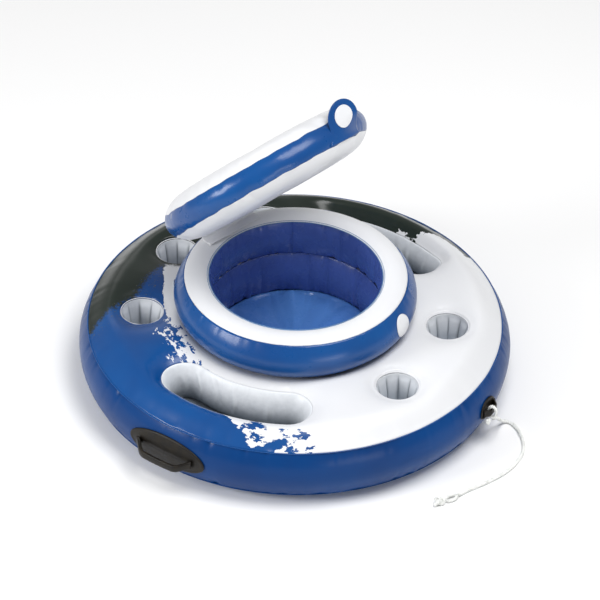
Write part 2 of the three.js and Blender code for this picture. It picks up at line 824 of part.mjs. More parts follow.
function addLatch(middle) {
  const foldRadius = lidSeamRadius + tabStandOff + tabThickness;
  const place = new THREE.Matrix4()
    .makeRotationZ(lidFrontAngle)
    .multiply(new THREE.Matrix4().makeTranslation(foldRadius, 0, -lidBandHalfHeight))
    .multiply(new THREE.Matrix4().makeRotationZ(Math.PI / 2))
    .multiply(new THREE.Matrix4().makeRotationX(radians(tabLean)));
  const fold = group(middle, place);
  add(fold, "latch_tab", latchTab(), vinylBlue);
  const button = add(fold, "latch_disc", disc(discRadius, discThickness), vinylWhite);
  button.position.set(0, -tabThickness - seamGap - discThickness / 2, discCentre);
}

addFloat();
addCollar();
addWells();
addHandles();
addValve(part, "float", floatValve);
addValve(part, "collar", collarValve);
addLid();
addRope();

export default part;
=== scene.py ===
import math

import bmesh
import bpy
import numpy as np
from mathutils import Matrix, Vector
from mathutils.geometry import delaunay_2d_cdt


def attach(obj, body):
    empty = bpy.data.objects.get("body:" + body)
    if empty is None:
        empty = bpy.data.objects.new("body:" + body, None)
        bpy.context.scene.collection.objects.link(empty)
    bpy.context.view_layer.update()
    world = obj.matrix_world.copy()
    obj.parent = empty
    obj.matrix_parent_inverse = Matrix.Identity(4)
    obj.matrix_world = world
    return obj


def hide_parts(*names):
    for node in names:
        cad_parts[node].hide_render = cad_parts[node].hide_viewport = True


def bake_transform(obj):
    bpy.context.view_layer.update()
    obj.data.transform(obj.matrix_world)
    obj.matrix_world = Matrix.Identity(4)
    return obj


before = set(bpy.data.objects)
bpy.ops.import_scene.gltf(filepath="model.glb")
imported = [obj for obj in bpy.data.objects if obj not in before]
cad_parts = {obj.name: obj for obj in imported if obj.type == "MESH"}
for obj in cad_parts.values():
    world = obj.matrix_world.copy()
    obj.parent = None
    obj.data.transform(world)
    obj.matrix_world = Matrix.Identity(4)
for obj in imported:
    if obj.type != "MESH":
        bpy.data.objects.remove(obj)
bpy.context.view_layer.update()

# Metres. The tow fitting faces -Y, and angles named "azimuth" are from +X.
MM = 0.001
TURN = 2 * math.pi

FILM = 1.2 * MM  # thickness of the vinyl as shown

# Float ring
SEAM_RADIUS = 426.6 * MM
TOP_SEAM = 128 * MM
BOTTOM_SEAM = 22 * MM
WIDEST_RADIUS = 445 * MM
SHOULDER = 66 * MM
CROWN = 150 * MM
WAIST_RADIUS = 182 * MM
WAIST_HEIGHT = 163 * MM
SWELL = 16 * MM  # how far the top skin swells between the wells

# Collar and cooler
COLLAR_BASE = (210 * MM, 152.6 * MM)
COLLAR_SEAM = (228.7 * MM, 247 * MM)
COLLAR_BULGE = 30 * MM
BAND_CROWN = 6 * MM
MOUTH = (178.7 * MM, 247 * MM)
LINER_BULGE = 9 * MM
LINER_FOOT = (173 * MM, 73 * MM)
FLOOR_SAG = 8 * MM
PATCH_SHARE = 0.68

# Wells
CUP_PROFILE = np.array([[70, 90, 110, 128, 140, 150], [33, 34.2, 36.5, 40, 42.2, 43]]) * MM
CUP_CIRCLE = 314.8 * MM
CUP_RADIUS = 43 * MM
CUP_FLOOR_HEIGHT = 70 * MM
WELL_FLOOR = 62 * MM
CUP_AZIMUTHS = [math.radians(rel - 90) for rel in (20.5, -20.7, -151, 169.4, 129.8)]
POCKET_CIRCLE = 311.3 * MM
POCKET_WIDTHS = (50 * MM, 42 * MM)  # half widths, at the top and at the floor
POCKET_FLOOR_HEIGHT = 65 * MM
POCKET_HALF_SPAN = math.radians(30.5) - math.asin(50 / 311.3)
POCKET_AZIMUTHS = [math.radians(rel - 90) for rel in (-85.9, 85)]
POCKET_DIP = 18 * MM  # how far the skin sinks at the outer rim of the second pocket

SEAM_BEAD = (1.6 * MM, 0.7 * MM)

# Handles
GRIP_BACK_RADIUS = 447.2 * MM
SIDE_HANDLE = {
    "height": 73 * MM, "plate": (93 * MM, 38 * MM), "half_base": 66 * MM, "leg": 0.42, "proud": 20 * MM,
    "section": (4 * MM, 8 * MM), "droop": 7 * MM,
}
TOW_FITTING = {
    "height": 76 * MM, "plate": (30 * MM, 22.5 * MM), "half_base": 22 * MM, "leg": 0.45, "proud": 9 * MM,
    "section": (2.5 * MM, 8 * MM), "droop": 0,
}
HANDLES = {"tow": (0, TOW_FITTING), "handle_left": (-97.8, SIDE_HANDLE), "handle_right": (97.8, SIDE_HANDLE)}

# Lid, in its own frame: +Z out of its top face
LID_SEAM = 222 * MM
LID_EDGE = 231 * MM
LID_HALF_BAND = 24 * MM
LID_DOME = 28 * MM
LID_DOME_POWER = 9
WEB_OFFSET = 75 * MM
WEB_REACH = 156 * MM
WEB_GROOVE = 4 * MM
LID_TILT = math.radians(47.7)

# Hinge strip, from the hinge line
STRIP_HALF_LENGTH = 70 * MM
STRIP_REACH = 21 * MM  # onto the collar
STRIP_STAND = 28.5 * MM  # up the lid

# Latch, from its fold line
TAB_HEIGHT = 82 * MM
TAB_HALF_WIDTH = 38.5 * MM
TAB_SHOULDER = 15.5 * MM  # wider at the fold
TAB_ROUND_START = 44 * MM
TAB_TWIST = 0.26
DISC_HEIGHT = 47 * MM
DISC_RADIUS = 23 * MM


def frame_of(origin, x, y, z):
    return Matrix([[x[i], y[i], z[i], origin[i]] for i in range(3)] + [[0, 0, 0, 1]])


def frame_on(origin, z):
    """A frame whose +Z runs along z, with its +X level."""
    up = Vector(z).normalized()
    side = Vector((0, 0, 1)).cross(up).normalized()
    return frame_of(origin, side, up.cross(side), up)


LID = frame_of(
    (0.03086, 0.08963, 0.45587), (-0.94552, 0.32557, 0),
    (-0.21911, -0.63635, 0.73963), (0.2408, 0.69933, 0.67301),
)
LATCH = frame_of(
    (0.04778, -0.08674, 0.59742), (0.96534, -0.10066, -0.2408),
    (-0.03941, 0.85583, -0.51575), (0.258, 0.50736, 0.82221),
)
HINGE_POINT = Vector((0.06674, 0.19383, 0.256))
HINGE = frame_of(HINGE_POINT, (-0.94552, 0.32557, 0), (-0.32557, -0.94552, 0), (0, 0, 1))
VALVES = {
    "float": ("float", frame_on((0.20891, 0.39291, 0.075), (0.46947, 0.88295, 0))),
    "collar": ("float", frame_on((-0.08467, 0.23262, 0.18931), (-0.3247, 0.8921, -0.3142))),
    "lid": ("lid", frame_on((0.07809, 0.22678, 0.37153), (0.25803, 0.74938, 0.60979))),
}

# Tow rope
ROPE_DIAMETER = 7 * MM
ROPE_PITCH = 21 * MM
ROPE_ROUTE = [
    (-0.003, -0.461, 0.0555), (0.008, -0.4605, 0.05), (0.022, -0.4585, 0.038), (0.038, -0.4565, 0.021),
    (0.052, -0.4575, 0.008), (0.06, -0.464, 0.0038), (0.058, -0.477, 0.0038), (0.051, -0.49, 0.0038),
    (0.041, -0.502, 0.0038), (0.027, -0.515, 0.0038), (0.011, -0.526, 0.0038), (-0.007, -0.534, 0.0038),
    (-0.025, -0.538, 0.0038), (-0.057, -0.538, 0.0038), (-0.089, -0.532, 0.0038),
    (-0.12, -0.52, 0.0038), (-0.148, -0.506, 0.0038), (-0.175, -0.491, 0.0038), (-0.197, -0.482, 0.0038),
]
ROPE_HEADING = math.radians(150)
HITCH_PLACE = (-0.006, -0.4603, 0.076)
HITCH_KNOT_PLACE = (-0.017, -0.456, 0.0575)
EYE_OFFSET = 16.8 * MM  # past the rope's end
END_KNOT_OFFSET = (46.6 * MM, 0, 4.4 * MM)

# Camera
CAMERA_HEADING = math.radians(27.5)
CAMERA_ELEVATION = math.radians(38.5)
CAMERA_ROLL = math.radians(1.13)
CAMERA_DISTANCE = 12
CAMERA_LENS = 350.6
CAMERA_TARGET_HEIGHT = 0.183
CAMERA_SIDE_STEP = 0.00926
FLOOR_SIZE = 28


# ---- Camera, light and floor ----


def new_object(name, data):
    item = bpy.data.objects.new(name, data)
    bpy.context.scene.collection.objects.link(item)
    return item


def camera_axes():
    h, e = CAMERA_HEADING, CAMERA_ELEVATION
    forward = Vector((math.cos(h) * math.cos(e), math.sin(h) * math.cos(e), -math.sin(e)))
    level = Vector((math.sin(h), -math.cos(h), 0))
    rise = level.cross(forward)
    right = level * math.cos(CAMERA_ROLL) + rise * math.sin(CAMERA_ROLL)
    return right, right.cross(forward), forward


def add_camera():
    right, up, forward = camera_axes()
    target = Vector((0, 0, CAMERA_TARGET_HEIGHT)) + right * CAMERA_SIDE_STEP
    data = bpy.data.cameras.new("camera")
    data.lens = CAMERA_LENS
    data.clip_end = 100
    camera = new_object("camera", data)
    camera.matrix_world = frame_of(target - forward * CAMERA_DISTANCE, right, up, -forward)
    bpy.context.scene.camera = camera


def add_light(name, across, away, height, size, power):
    """A soft box aimed at the float: `across` to the camera's right of it and `away` behind it."""
    right, _, forward = camera_axes()
    level = Vector((forward.x, forward.y, 0)).normalized()
    place = Vector((right.x, right.y, 0)).normalized() * across + level * away + Vector((0, 0, height))
    data = bpy.data.lights.new(name, "AREA")
    data.shape = "RECTANGLE"
    data.size, data.size_y = size
    data.energy = power
    light = new_object(name, data)
    light.location = place
    light.rotation_euler = (Vector((0, 0, 0.15)) - place).to_track_quat("-Z", "Y").to_euler()


def add_surroundings():
    world = bpy.data.worlds.new("studio")
    world.use_nodes = True
    background = world.node_tree.nodes["Background"]
    background.inputs["Color"].default_value = (1, 1, 1, 1)
    background.inputs["Strength"].default_value = 0.38
    bpy.context.scene.world = world
    bpy.context.scene.view_settings.view_transform = "Standard"
    add_light("key", -2.9, -1.4, 1.75, (1.3, 1.3), 64)
    add_light("top", 0.95, -0.6, 3.4, (2.0, 2.0), 92)
    add_light("low", 1.5, -2.6, 0.4, (1.4, 0.6), 9)
    add_light("rear", -1.2, 3.2, 1.6, (1.6, 1.2), 4)


def add_floor():
    shader = Shader("floor", Specular_IOR_Level=0.2)
    tone = shader.ramp(shader.noise(3, 2), 0, 1, 0, 0.15)
    colour = shader.mix(tone, rgb(250, 250, 250), rgb(246, 246, 247))
    paper = shader.finish(colour, 0.8, shader.bump(shader.noise(300, 2), 0.02, 0.0005))
    half = FLOOR_SIZE / 2
    corners = [(-half, -half, 0), (half, -half, 0), (half, half, 0), (-half, half, 0)]
    mesh = bpy.data.meshes.new("floor")
    mesh.from_pydata(corners, [], [(0, 1, 2, 3)])
    mesh.materials.append(paper)
    floor = new_object("floor", mesh)
    floor.location.z = -0.5 * MM


# ---- Shader tools ----


class Shader:
    """A material with a Principled shader, and short ways to add nodes to it."""

    def __init__(self, name, **settings):
        self.material = bpy.data.materials.new(name)
        self.material.use_nodes = True
        self.tree = self.material.node_tree
        self.surface = self.tree.nodes["Principled BSDF"]
        for key, value in settings.items():
            self.put(self.surface.inputs[key.replace("_", " ")], value)

    def put(self, socket, value):
        if isinstance(value, bpy.types.NodeSocket):
            self.tree.links.new(value, socket)
        else:
            socket.default_value = value

    def add(self, kind, inputs, **settings):
        node = self.tree.nodes.new("ShaderNode" + kind)
        for key, value in settings.items():
            setattr(node, key, value)
        for key, value in inputs.items():
            self.put(node.inputs[key], value)
        return node

    def sum(self, operation, *values):
        return self.add("Math", dict(enumerate(values)), operation=operation).outputs[0]

    def plus(self, a, b):
        return self.sum("ADD", a, b)

    def minus(self, a, b):
        return self.sum("SUBTRACT", a, b)

    def times(self, a, b):
        return self.sum("MULTIPLY", a, b)

    def over(self, a, b):
        return self.sum("GREATER_THAN", a, b)

    def ramp(self, value, low, high, to_low=0.0, to_high=1.0):
        inputs = {"Value": value, "From Min": low, "From Max": high, "To Min": to_low, "To Max": to_high}
        return self.add("MapRange", inputs).outputs[0]

    def mix(self, share, a, b):
        node = self.tree.nodes.new("ShaderNodeMix")
        node.data_type = "RGBA"
        for socket, value in zip((node.inputs[0], node.inputs[6], node.inputs[7]), (share, a, b)):
            self.put(socket, value)
        return node.outputs[2]

    def where(self):
        return self.add("TexCoord", {}).outputs["Object"]

    def noise(self, scale, detail=2.0, roughness=0.5, vector=None):
        inputs = {"Scale": scale, "Detail": detail, "Roughness": roughness}
        inputs["Vector"] = vector if vector else self.where()
        return self.add("TexNoise", inputs).outputs[0]

    def attribute(self, name, output="Fac"):
        return self.add("Attribute", {}, attribute_name=name).outputs[output]

    def bump(self, height, strength, distance, under=None):
        inputs = {"Height": height, "Strength": strength, "Distance": distance}
        if under:
            inputs["Normal"] = under
        return self.add("Bump", inputs).outputs[0]

    def finish(self, colour, roughness, normal):
        for name, value in (("Base Color", colour), ("Roughness", roughness), ("Normal", normal)):
            self.put(self.surface.inputs[name], value)
        return self.material


def rgb(red, green, blue):
    """A linear colour from its sRGB bytes."""
    return tuple(
        v / 12.92 if v <= 0.04045 else ((v + 0.055) / 1.055) ** 2.4
        for v in (c / 255 for c in (red, green, blue))
    ) + (1,)


BLUE = rgb(2, 76, 142)
NAVY = rgb(6, 60, 122)
WHITE = rgb(226, 227, 229)
GREY = rgb(32, 42, 36)
OLIVE = rgb(84, 84, 58)


def film_bump(shader, grain=0.05, ripple=0.2):
    """The fine emboss of vinyl film over its slight unevenness."""
    slow = shader.bump(shader.noise(26, 3), ripple, 0.0012)
    return shader.bump(shader.noise(400, 1), grain, 0.0001, slow)


def vinyl(name, colour, deep, roughness=0.3, coat=0.35, clear=0.0, shine=0.25):
    shader = Shader(
        name, Coat_Weight=coat, Coat_Roughness=0.2, Specular_IOR_Level=shine, Transmission_Weight=clear,
    )
    patches = shader.ramp(shader.noise(5, 3), 0.35, 0.7)
    gloss = shader.ramp(shader.noise(40, 3), 0.3, 0.7, roughness - 0.04, roughness + 0.06)
    return shader.finish(shader.mix(patches, colour, deep), gloss, film_bump(shader))


def well_vinyl(name, low):
    """Milky film with painted shade: greyer towards the bottom of a well, and dark in its pleats."""
    shader = Shader(name, Coat_Weight=0.2, Coat_Roughness=0.25, Specular_IOR_Level=0.3)
    height = shader.add("SeparateXYZ", {"Vector": shader.where()}).outputs["Z"]
    cloudy = shader.times(shader.minus(shader.noise(60, 4, 0.6), 0.5), 0.03)
    share = shader.ramp(shader.plus(height, cloudy), WELL_FLOOR, CROWN)
    # Painted shade: the colour greys from the rim down to the well's floor, not a colour of the film.
    colour = shader.mix(share, low, rgb(226, 229, 233))
    # Painted shade in the creases of the pleats.
    colour = shader.mix(shader.attribute("pleat_shade"), colour, rgb(70, 78, 90))
    return shader.finish(colour, 0.42, film_bump(shader, 0.12, 0.35))


def printed_vinyl():
    """White film printed blue and grey, each with a ragged, splashed edge."""
    shader = Shader("printed_vinyl", Coat_Weight=0.35, Coat_Roughness=0.2, Specular_IOR_Level=0.25)
    flow = shader.attribute("print_flow", "Vector")
    ragged = shader.attribute("print_ragged")
    splash = shader.minus(shader.noise(62, 5, 0.6, flow), 0.5)
    nibble = shader.minus(shader.noise(210, 4, 0.6, flow), 0.5)
    torn = shader.times(splash, shader.ramp(ragged, 0.1, 0.9, 0.012, 0.6))
    torn = shader.plus(torn, shader.times(nibble, 0.012))
    drops = shader.add("TexVoronoi", {"Scale": 120, "Vector": flow}).outputs["Distance"]
    drop_size = shader.ramp(shader.noise(60, 2, 0.5, flow), 0.5, 0.75, 0, 0.3)

    def stamp(edge, reach):
        body = shader.over(shader.plus(edge, torn), 0)
        near = shader.over(edge, -reach)
        drop = shader.times(near, shader.sum("LESS_THAN", drops, drop_size))
        return shader.sum("MAXIMUM", body, shader.times(drop, shader.over(ragged, 0.3)))

    speckle = shader.minus(shader.noise(150, 4, 0.75), 0.5)
    blue_edge, grey_edge = (shader.attribute(n) for n in ("print_blue", "print_grey"))
    dusted = shader.plus(grey_edge, shader.times(speckle, 0.05))
    over_blue = shader.ramp(dusted, -0.006, 0.006)
    edge_band = shader.sum("LESS_THAN", shader.sum("ABSOLUTE", shader.plus(grey_edge, 0.009)), 0.02)
    dust = shader.times(edge_band, shader.over(shader.noise(230, 3, 0.7), 0.64))
    blue = shader.mix(shader.ramp(shader.noise(5, 3), 0.35, 0.7), BLUE, NAVY)
    grey = shader.mix(shader.ramp(shader.noise(7, 3), 0.3, 0.7), GREY, rgb(24, 32, 27))
    white = shader.mix(shader.ramp(shader.noise(6, 2), 0.3, 0.7), WHITE, rgb(222, 223, 226))
    in_blue = stamp(blue_edge, 0.028)
    in_grey = shader.times(stamp(shader.attribute("print_grey_white"), 0.03), over_blue)
    inked = shader.sum("MAXIMUM", in_blue, in_grey)
    colour = shader.mix(in_grey, shader.mix(in_blue, white, blue), grey)
    colour = shader.mix(shader.times(dust, inked), colour, OLIVE)
    return shader.finish(colour, shader.ramp(inked, 0, 1, 0.4, 0.3), film_bump(shader))


def moulded_black():
    """Black rubbery moulding with a leather-like grain and dusty high spots."""
    shader = Shader("moulded_black", Specular_IOR_Level=0.28, Coat_Weight=0.03, Coat_Roughness=0.4)
    cells = shader.add("TexVoronoi", {"Scale": 520, "Vector": shader.where()}, feature="SMOOTH_F1")
    grain = shader.bump(cells.outputs["Distance"], 0.6, 0.0006)
    grain = shader.bump(shader.noise(1500, 2), 0.2, 0.0002, grain)
    worn = shader.ramp(shader.noise(60, 4), 0.45, 0.75)
    colour = shader.mix(worn, rgb(16, 12, 7), rgb(34, 28, 18))
    return shader.finish(colour, shader.ramp(worn, 0, 1, 0.42, 0.56), grain)


def rope_fibre():
    """Braid-white fibre: fine hairs along the strands, and a little dirt in the lay."""
    shader = Shader("rope_fibre", Sheen_Weight=0.4, Sheen_Roughness=0.5, Specular_IOR_Level=0.3)
    hairs = shader.noise(1800, 4, 0.7)
    dirt = shader.ramp(shader.noise(90, 4), 0.45, 0.8)
    colour = shader.mix(dirt, rgb(243, 244, 241), rgb(205, 208, 203))
    return shader.finish(colour, shader.ramp(hairs, 0.3, 0.7, 0.75, 0.95), shader.bump(hairs, 0.7, 0.0006))


LOOKS = {
    "printed_vinyl": printed_vinyl(),
    "blue_vinyl": vinyl("blue_vinyl", BLUE, NAVY, 0.3),
    # A darker copy of the blue vinyl for the side wall: painted shade, standing in for the shade on the
    # wall's front.
    "shaded_wall_blue": vinyl("shaded_wall_blue", rgb(1, 62, 124), rgb(3, 50, 106), 0.34, 0.15, shine=0.12),
    "liner_blue": vinyl("liner_blue", rgb(74, 98, 168), rgb(60, 80, 146), 0.26, 0.5),
    # Lighter than the liner: painted light on the cooler floor, standing in for light the lid keeps off it.
    "lit_floor_blue": vinyl("lit_floor_blue", rgb(82, 132, 200), rgb(68, 112, 182), 0.28, 0.5),
    "white_vinyl": vinyl("white_vinyl", WHITE, rgb(220, 221, 225), 0.36, 0.25),
    # The low colour is painted shade at the bottom of a well; the pockets get a darker one, as painted shade
    # for their deeper floors.
    "well_vinyl": well_vinyl("well_vinyl", rgb(172, 180, 190)),
    "pocket_vinyl": well_vinyl("pocket_vinyl", rgb(112, 121, 131)),
    "weld_vinyl": vinyl("weld_vinyl", rgb(84, 124, 168), rgb(98, 138, 180), 0.25, 0.5),
    "web_vinyl": vinyl("web_vinyl", rgb(222, 228, 234), rgb(206, 214, 222), 0.4, 0.2),
    "valve_vinyl": vinyl("valve_vinyl", rgb(222, 228, 233), rgb(208, 215, 222), 0.3, 0.4, 0.15),
    "black_moulding": moulded_black(),
    "rope": rope_fibre(),
}


# ---- Mesh tools ----


def grid_faces(rows, columns, closed=True, flip=False):
    i = np.arange(rows - 1)[:, None]
    j = np.arange(columns if closed else columns - 1)[None, :]
    a, b = i * columns + j, i * columns + (j + 1) % columns
    corners = [a, b, b + columns, a + columns]
    return np.stack(corners[::-1] if flip else corners, -1).reshape(-1, 4)


def add_piece(name, points, faces, look, body, replaces=(), film=FILM, weld=True):
    """A smooth piece on a CAD body. `film` thickens an open surface inward, and 0 leaves a closed one."""
    mesh = bpy.data.meshes.new(name)
    mesh.from_pydata(np.asarray(points, float).reshape(-1, 3).tolist(), [], np.asarray(faces).tolist())
    if weld:
        shape = bmesh.new()
        shape.from_mesh(mesh)
        bmesh.ops.remove_doubles(shape, verts=shape.verts, dist=1e-6)
        shape.to_mesh(mesh)
        shape.free()
    mesh.polygons.foreach_set("use_smooth", [True] * len(mesh.polygons))
    piece = new_object(name, mesh)
    mesh.materials.append(LOOKS[look])
    if film:
        solid = piece.modifiers.new("film", "SOLIDIFY")
        solid.thickness = film
        solid.offset = -1
    if body:
        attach(piece, body)
    if replaces:
        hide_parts(*replaces)
    return piece


def add_fact(piece, name, values):
    """A number at each point of a piece, which its material reads by name."""
    attribute = piece.data.attributes.new(name, "FLOAT", "POINT")
    attribute.data.foreach_set("value", np.asarray(values, np.float32).ravel())


def add_grid(name, points, look, *replaces, body="float", closed=True, flip=False, **settings):
    """A piece from a grid of points, whose rows close on themselves unless it is an open grid."""
    faces = grid_faces(*points.shape[:2], closed, flip)
    return add_piece(name, points, faces, look, body, replaces, **settings)


def placed(points, matrix):
    m = np.array(matrix)
    return np.asarray(points) @ m[:3, :3].T + m[:3, 3]


def turned(radius, azimuth, height):
    """Points from radius, azimuth and height, which broadcast to one grid."""
    return np.stack(np.broadcast_arrays(radius * np.cos(azimuth), radius * np.sin(azimuth), height), -1)


def around(count):
    return np.arange(count)[None, :] / count * TURN


def shares(count):
    return np.linspace(0, 1, count)[:, None]


def smooth(low, high, value):
    t = np.clip((value - low) / (high - low), 0, 1)
    return t * t * (3 - 2 * t)


def folds(angle, away, count, height, width, reach, seed):
    """Small creases that run off a seam. `angle` goes round it, and `away` is the distance from it."""
    draw = np.random.default_rng(seed)
    total = np.zeros(np.broadcast(angle, away).shape)
    for _ in range(count):
        centre, size = draw.uniform(0, TURN), height * draw.uniform(0.35, 1) * draw.choice([-1, -1, 1])
        breadth, length = width * draw.uniform(1, 1.7), reach * draw.uniform(0.5, 1.3)
        gap = (angle - centre + math.pi) % TURN - math.pi
        total += size * np.exp(-((gap / breadth) ** 2)) * np.exp(-away / length)
    return total


def waves(angle, count, height, seed):
    """A slow unevenness round a ring, of about `count` waves."""
    draw = np.random.default_rng(seed)
    total = 0
    for n in (count - 2, count, count + 3, 2 * count - 1):
        total = total + draw.uniform(0.4, 1) * np.sin(n * angle + draw.uniform(0, TURN))
    return height * total / 2.4


def bulging(a, b, bulge, t):
    """A wall from a to b in a half section, bulging to the right of its run: its radius and height."""
    run = np.subtract(b, a)
    out = np.array([run[1], -run[0]]) / np.linalg.norm(run)
    rise = bulge * 4 * t * (1 - t)
    return a[0] + run[0] * t + out[0] * rise, a[1] + run[1] * t + out[1] * rise, out


# ---- Float ring ----


def side_wall_radius(height):
    return WIDEST_RADIUS - (WIDEST_RADIUS - SEAM_RADIUS) * ((height - 75 * MM) / (53 * MM)) ** 2


def add_side_wall():
    a = around(1080)
    t = shares(30)
    height = BOTTOM_SEAM + (TOP_SEAM - BOTTOM_SEAM) * (0.5 - 0.5 * np.cos(math.pi * t))
    radius = side_wall_radius(height)
    radius = radius + folds(a, TOP_SEAM - height, 150, 1.5 * MM, 0.011, 16 * MM, 1)
    radius = radius + folds(a, height - BOTTOM_SEAM, 130, 1.5 * MM, 0.012, 15 * MM, 2)
    radius = radius + waves(a, 9, 0.9 * MM, 3) * np.sin(math.pi * t)
    seam = np.abs((a - math.radians(70) + math.pi) % TURN - math.pi) * WIDEST_RADIUS
    radius = radius - 1.2 * MM * np.exp(-((seam / (3 * MM)) ** 2))
    add_grid("side_wall", turned(radius, a, height), "shaded_wall_blue", "float_side_wall", weld=False)


def add_bottom_skin():
    a = around(360)
    t = shares(40)
    knots = np.array([[0, 0], [360, 0], [385, 2.6], [401.3, 7.7], [415, 14.2], [426.6, 22]]) * MM
    radius = SEAM_RADIUS * t
    height = np.interp(radius, knots[:, 0], knots[:, 1])
    lift = folds(a, np.abs(radius - 365 * MM), 60, 1.2 * MM, 0.03, 30 * MM, 4)
    height = height + np.maximum(lift, 0) * smooth(0, 50 * MM, radius)
    add_grid("bottom_skin", turned(radius, a, height), "blue_vinyl", "float_bottom_skin")


def pocket_outline(half_width, count):
    """Round a pocket about its centre line on +X: plan points and their outward normals."""
    span, circle = POCKET_HALF_SPAN, POCKET_CIRCLE
    lengths = np.array([2 * span * (circle + half_width), math.pi * half_width] * 2)
    lengths[2] = 2 * span * (circle - half_width)
    ends = np.cumsum(lengths)
    points, normals = [], []
    for s in np.arange(count) / count * ends[-1]:
        part = int(np.searchsorted(ends, s, side="right"))
        t = (s - (ends[part] - lengths[part])) / lengths[part]
        if part in (0, 2):
            side = 1 if part == 0 else -1
            angle = (2 * t - 1) * span * side
            normal = np.array([math.cos(angle), math.sin(angle)]) * side
            point = np.array([math.cos(angle), math.sin(angle)]) * (circle + side * half_width)
        else:
            side = 1 if part == 1 else -1
            angle = side * span + math.pi * t + (0 if side > 0 else math.pi)
            normal = np.array([math.cos(angle), math.sin(angle)])
            centre = np.array([math.cos(side * span), math.sin(side * span)]) * circle
            point = centre + normal * half_width
        points.append(point)
        normals.append(normal)
    return np.array(points), np.array(normals)


def spun(plan, azimuth):
    c, s = math.cos(azimuth), math.sin(azimuth)
    return plan @ np.array([[c, s], [-s, c]])


def pocket_distance(x, y, azimuth):
    """Signed distance in plan from a pocket's edge, negative inside."""
    radius = np.hypot(x, y)
    angle = (np.arctan2(y, x) - azimuth + math.pi) % TURN - math.pi
    held = np.clip(angle, -POCKET_HALF_SPAN, POCKET_HALF_SPAN)
    across = radius * np.cos(angle) - POCKET_CIRCLE * np.cos(held)
    along = radius * np.sin(angle) - POCKET_CIRCLE * np.sin(held)
    return np.hypot(across, along) - POCKET_WIDTHS[0]


def cup_centre(azimuth):
    return CUP_CIRCLE * math.cos(azimuth), CUP_CIRCLE * math.sin(azimuth)


def well_distances(x, y):
    cups = [np.hypot(x - cx, y - cy) - CUP_RADIUS for cx, cy in map(cup_centre, CUP_AZIMUTHS)]
    return np.array(cups + [pocket_distance(x, y, azimuth) for azimuth in POCKET_AZIMUTHS])


def top_skin_height(x, y):
    radius, azimuth = np.hypot(x, y), np.arctan2(y, x)
    inset = np.clip((SEAM_RADIUS - radius) / SHOULDER, 0, 1)
    height = TOP_SEAM + (CROWN - TOP_SEAM) * (1 - (1 - inset) ** 2)
    height += np.interp(radius, [WAIST_RADIUS, COLLAR_BASE[0], 360.6 * MM], [13 * MM, 2 * MM, 0])
    near = well_distances(x, y)
    gap = np.maximum(near.min(0), 0)
    swell = SWELL * (1 - np.exp(-gap / (20 * MM)))
    height += swell * smooth(208 * MM, 250 * MM, radius) * smooth(SEAM_RADIUS, SEAM_RADIUS - 55 * MM, radius)
    rim = np.maximum(near[:5].min(0), 0)
    height += 2.2 * MM * np.exp(-(((rim - 4.5 * MM) / (2.6 * MM)) ** 2)) * (near[:5].min(0) > -1e-4)
    for i, (cx, cy) in enumerate(map(cup_centre, CUP_AZIMUTHS)):
        angle = np.arctan2(y - cy, x - cx)
        away = np.maximum(near[i], 0)
        height += folds(angle, away, 16, 1.3 * MM, 0.12, 13 * MM, 20 + i) * smooth(0, 6 * MM, away)
    slot = np.maximum(near[5:].min(0), 0)
    beyond = radius * np.cos(azimuth - POCKET_AZIMUTHS[1]) - POCKET_CIRCLE
    sunk = np.exp(-((np.maximum(near[6], 0) / (17 * MM)) ** 2)) * smooth(-20 * MM, 40 * MM, beyond)
    height -= POCKET_DIP * sunk
    ripple = np.sin(61 * azimuth) + np.sin(43 * azimuth + 1) + np.sin(97 * azimuth + 2)
    height += 0.35 * MM * ripple * np.exp(-slot / (14 * MM)) * smooth(0, 8 * MM, slot)
    inward = SEAM_RADIUS - radius
    height += folds(azimuth, inward, 120, 1.3 * MM, 0.017, 20 * MM, 30) * smooth(0, 6 * MM, inward)
    height += folds(azimuth, np.maximum(radius - COLLAR_BASE[0], 0), 46, 1.2 * MM, 0.035, 14 * MM, 31)
    return height


def inside_distance(x, y, outline):
    """Signed distance from a closed outline in plan, positive inside."""
    p = np.stack([x, y], -1)[:, None, :]
    a, b = np.array(outline), np.roll(outline, -1, axis=0)
    run = b - a
    t = np.clip(((p - a) * run).sum(-1) / (run * run).sum(-1), 0, 1)
    away = np.linalg.norm(p - a - t[..., None] * run, axis=-1).min(1)
    crosses = (a[:, 1] > p[..., 1]) != (b[:, 1] > p[..., 1])
    rise = np.where(np.abs(run[:, 1]) < 1e-12, 1e-12, run[:, 1])
    hit = p[..., 0] < run[:, 0] * (p[..., 1] - a[:, 1]) / rise + a[:, 0]
    return np.where((crosses & hit).sum(1) % 2 == 1, away, -away)


def polar_outline(stops, steps=6):
    """Plan points of an outline given as (azimuth in degrees, radius in millimetres), densely filled."""
    stops = np.array(stops, float)
    filled = [
        stops[i] + (stops[(i + 1) % len(stops)] - stops[i]) * k / steps
        for i in range(len(stops))
        for k in range(steps)
    ]
    azimuth, radius = np.radians([f[0] for f in filled]), np.array([f[1] for f in filled]) * MM
    return np.stack([radius * np.cos(azimuth), radius * np.sin(azimuth)], -1)


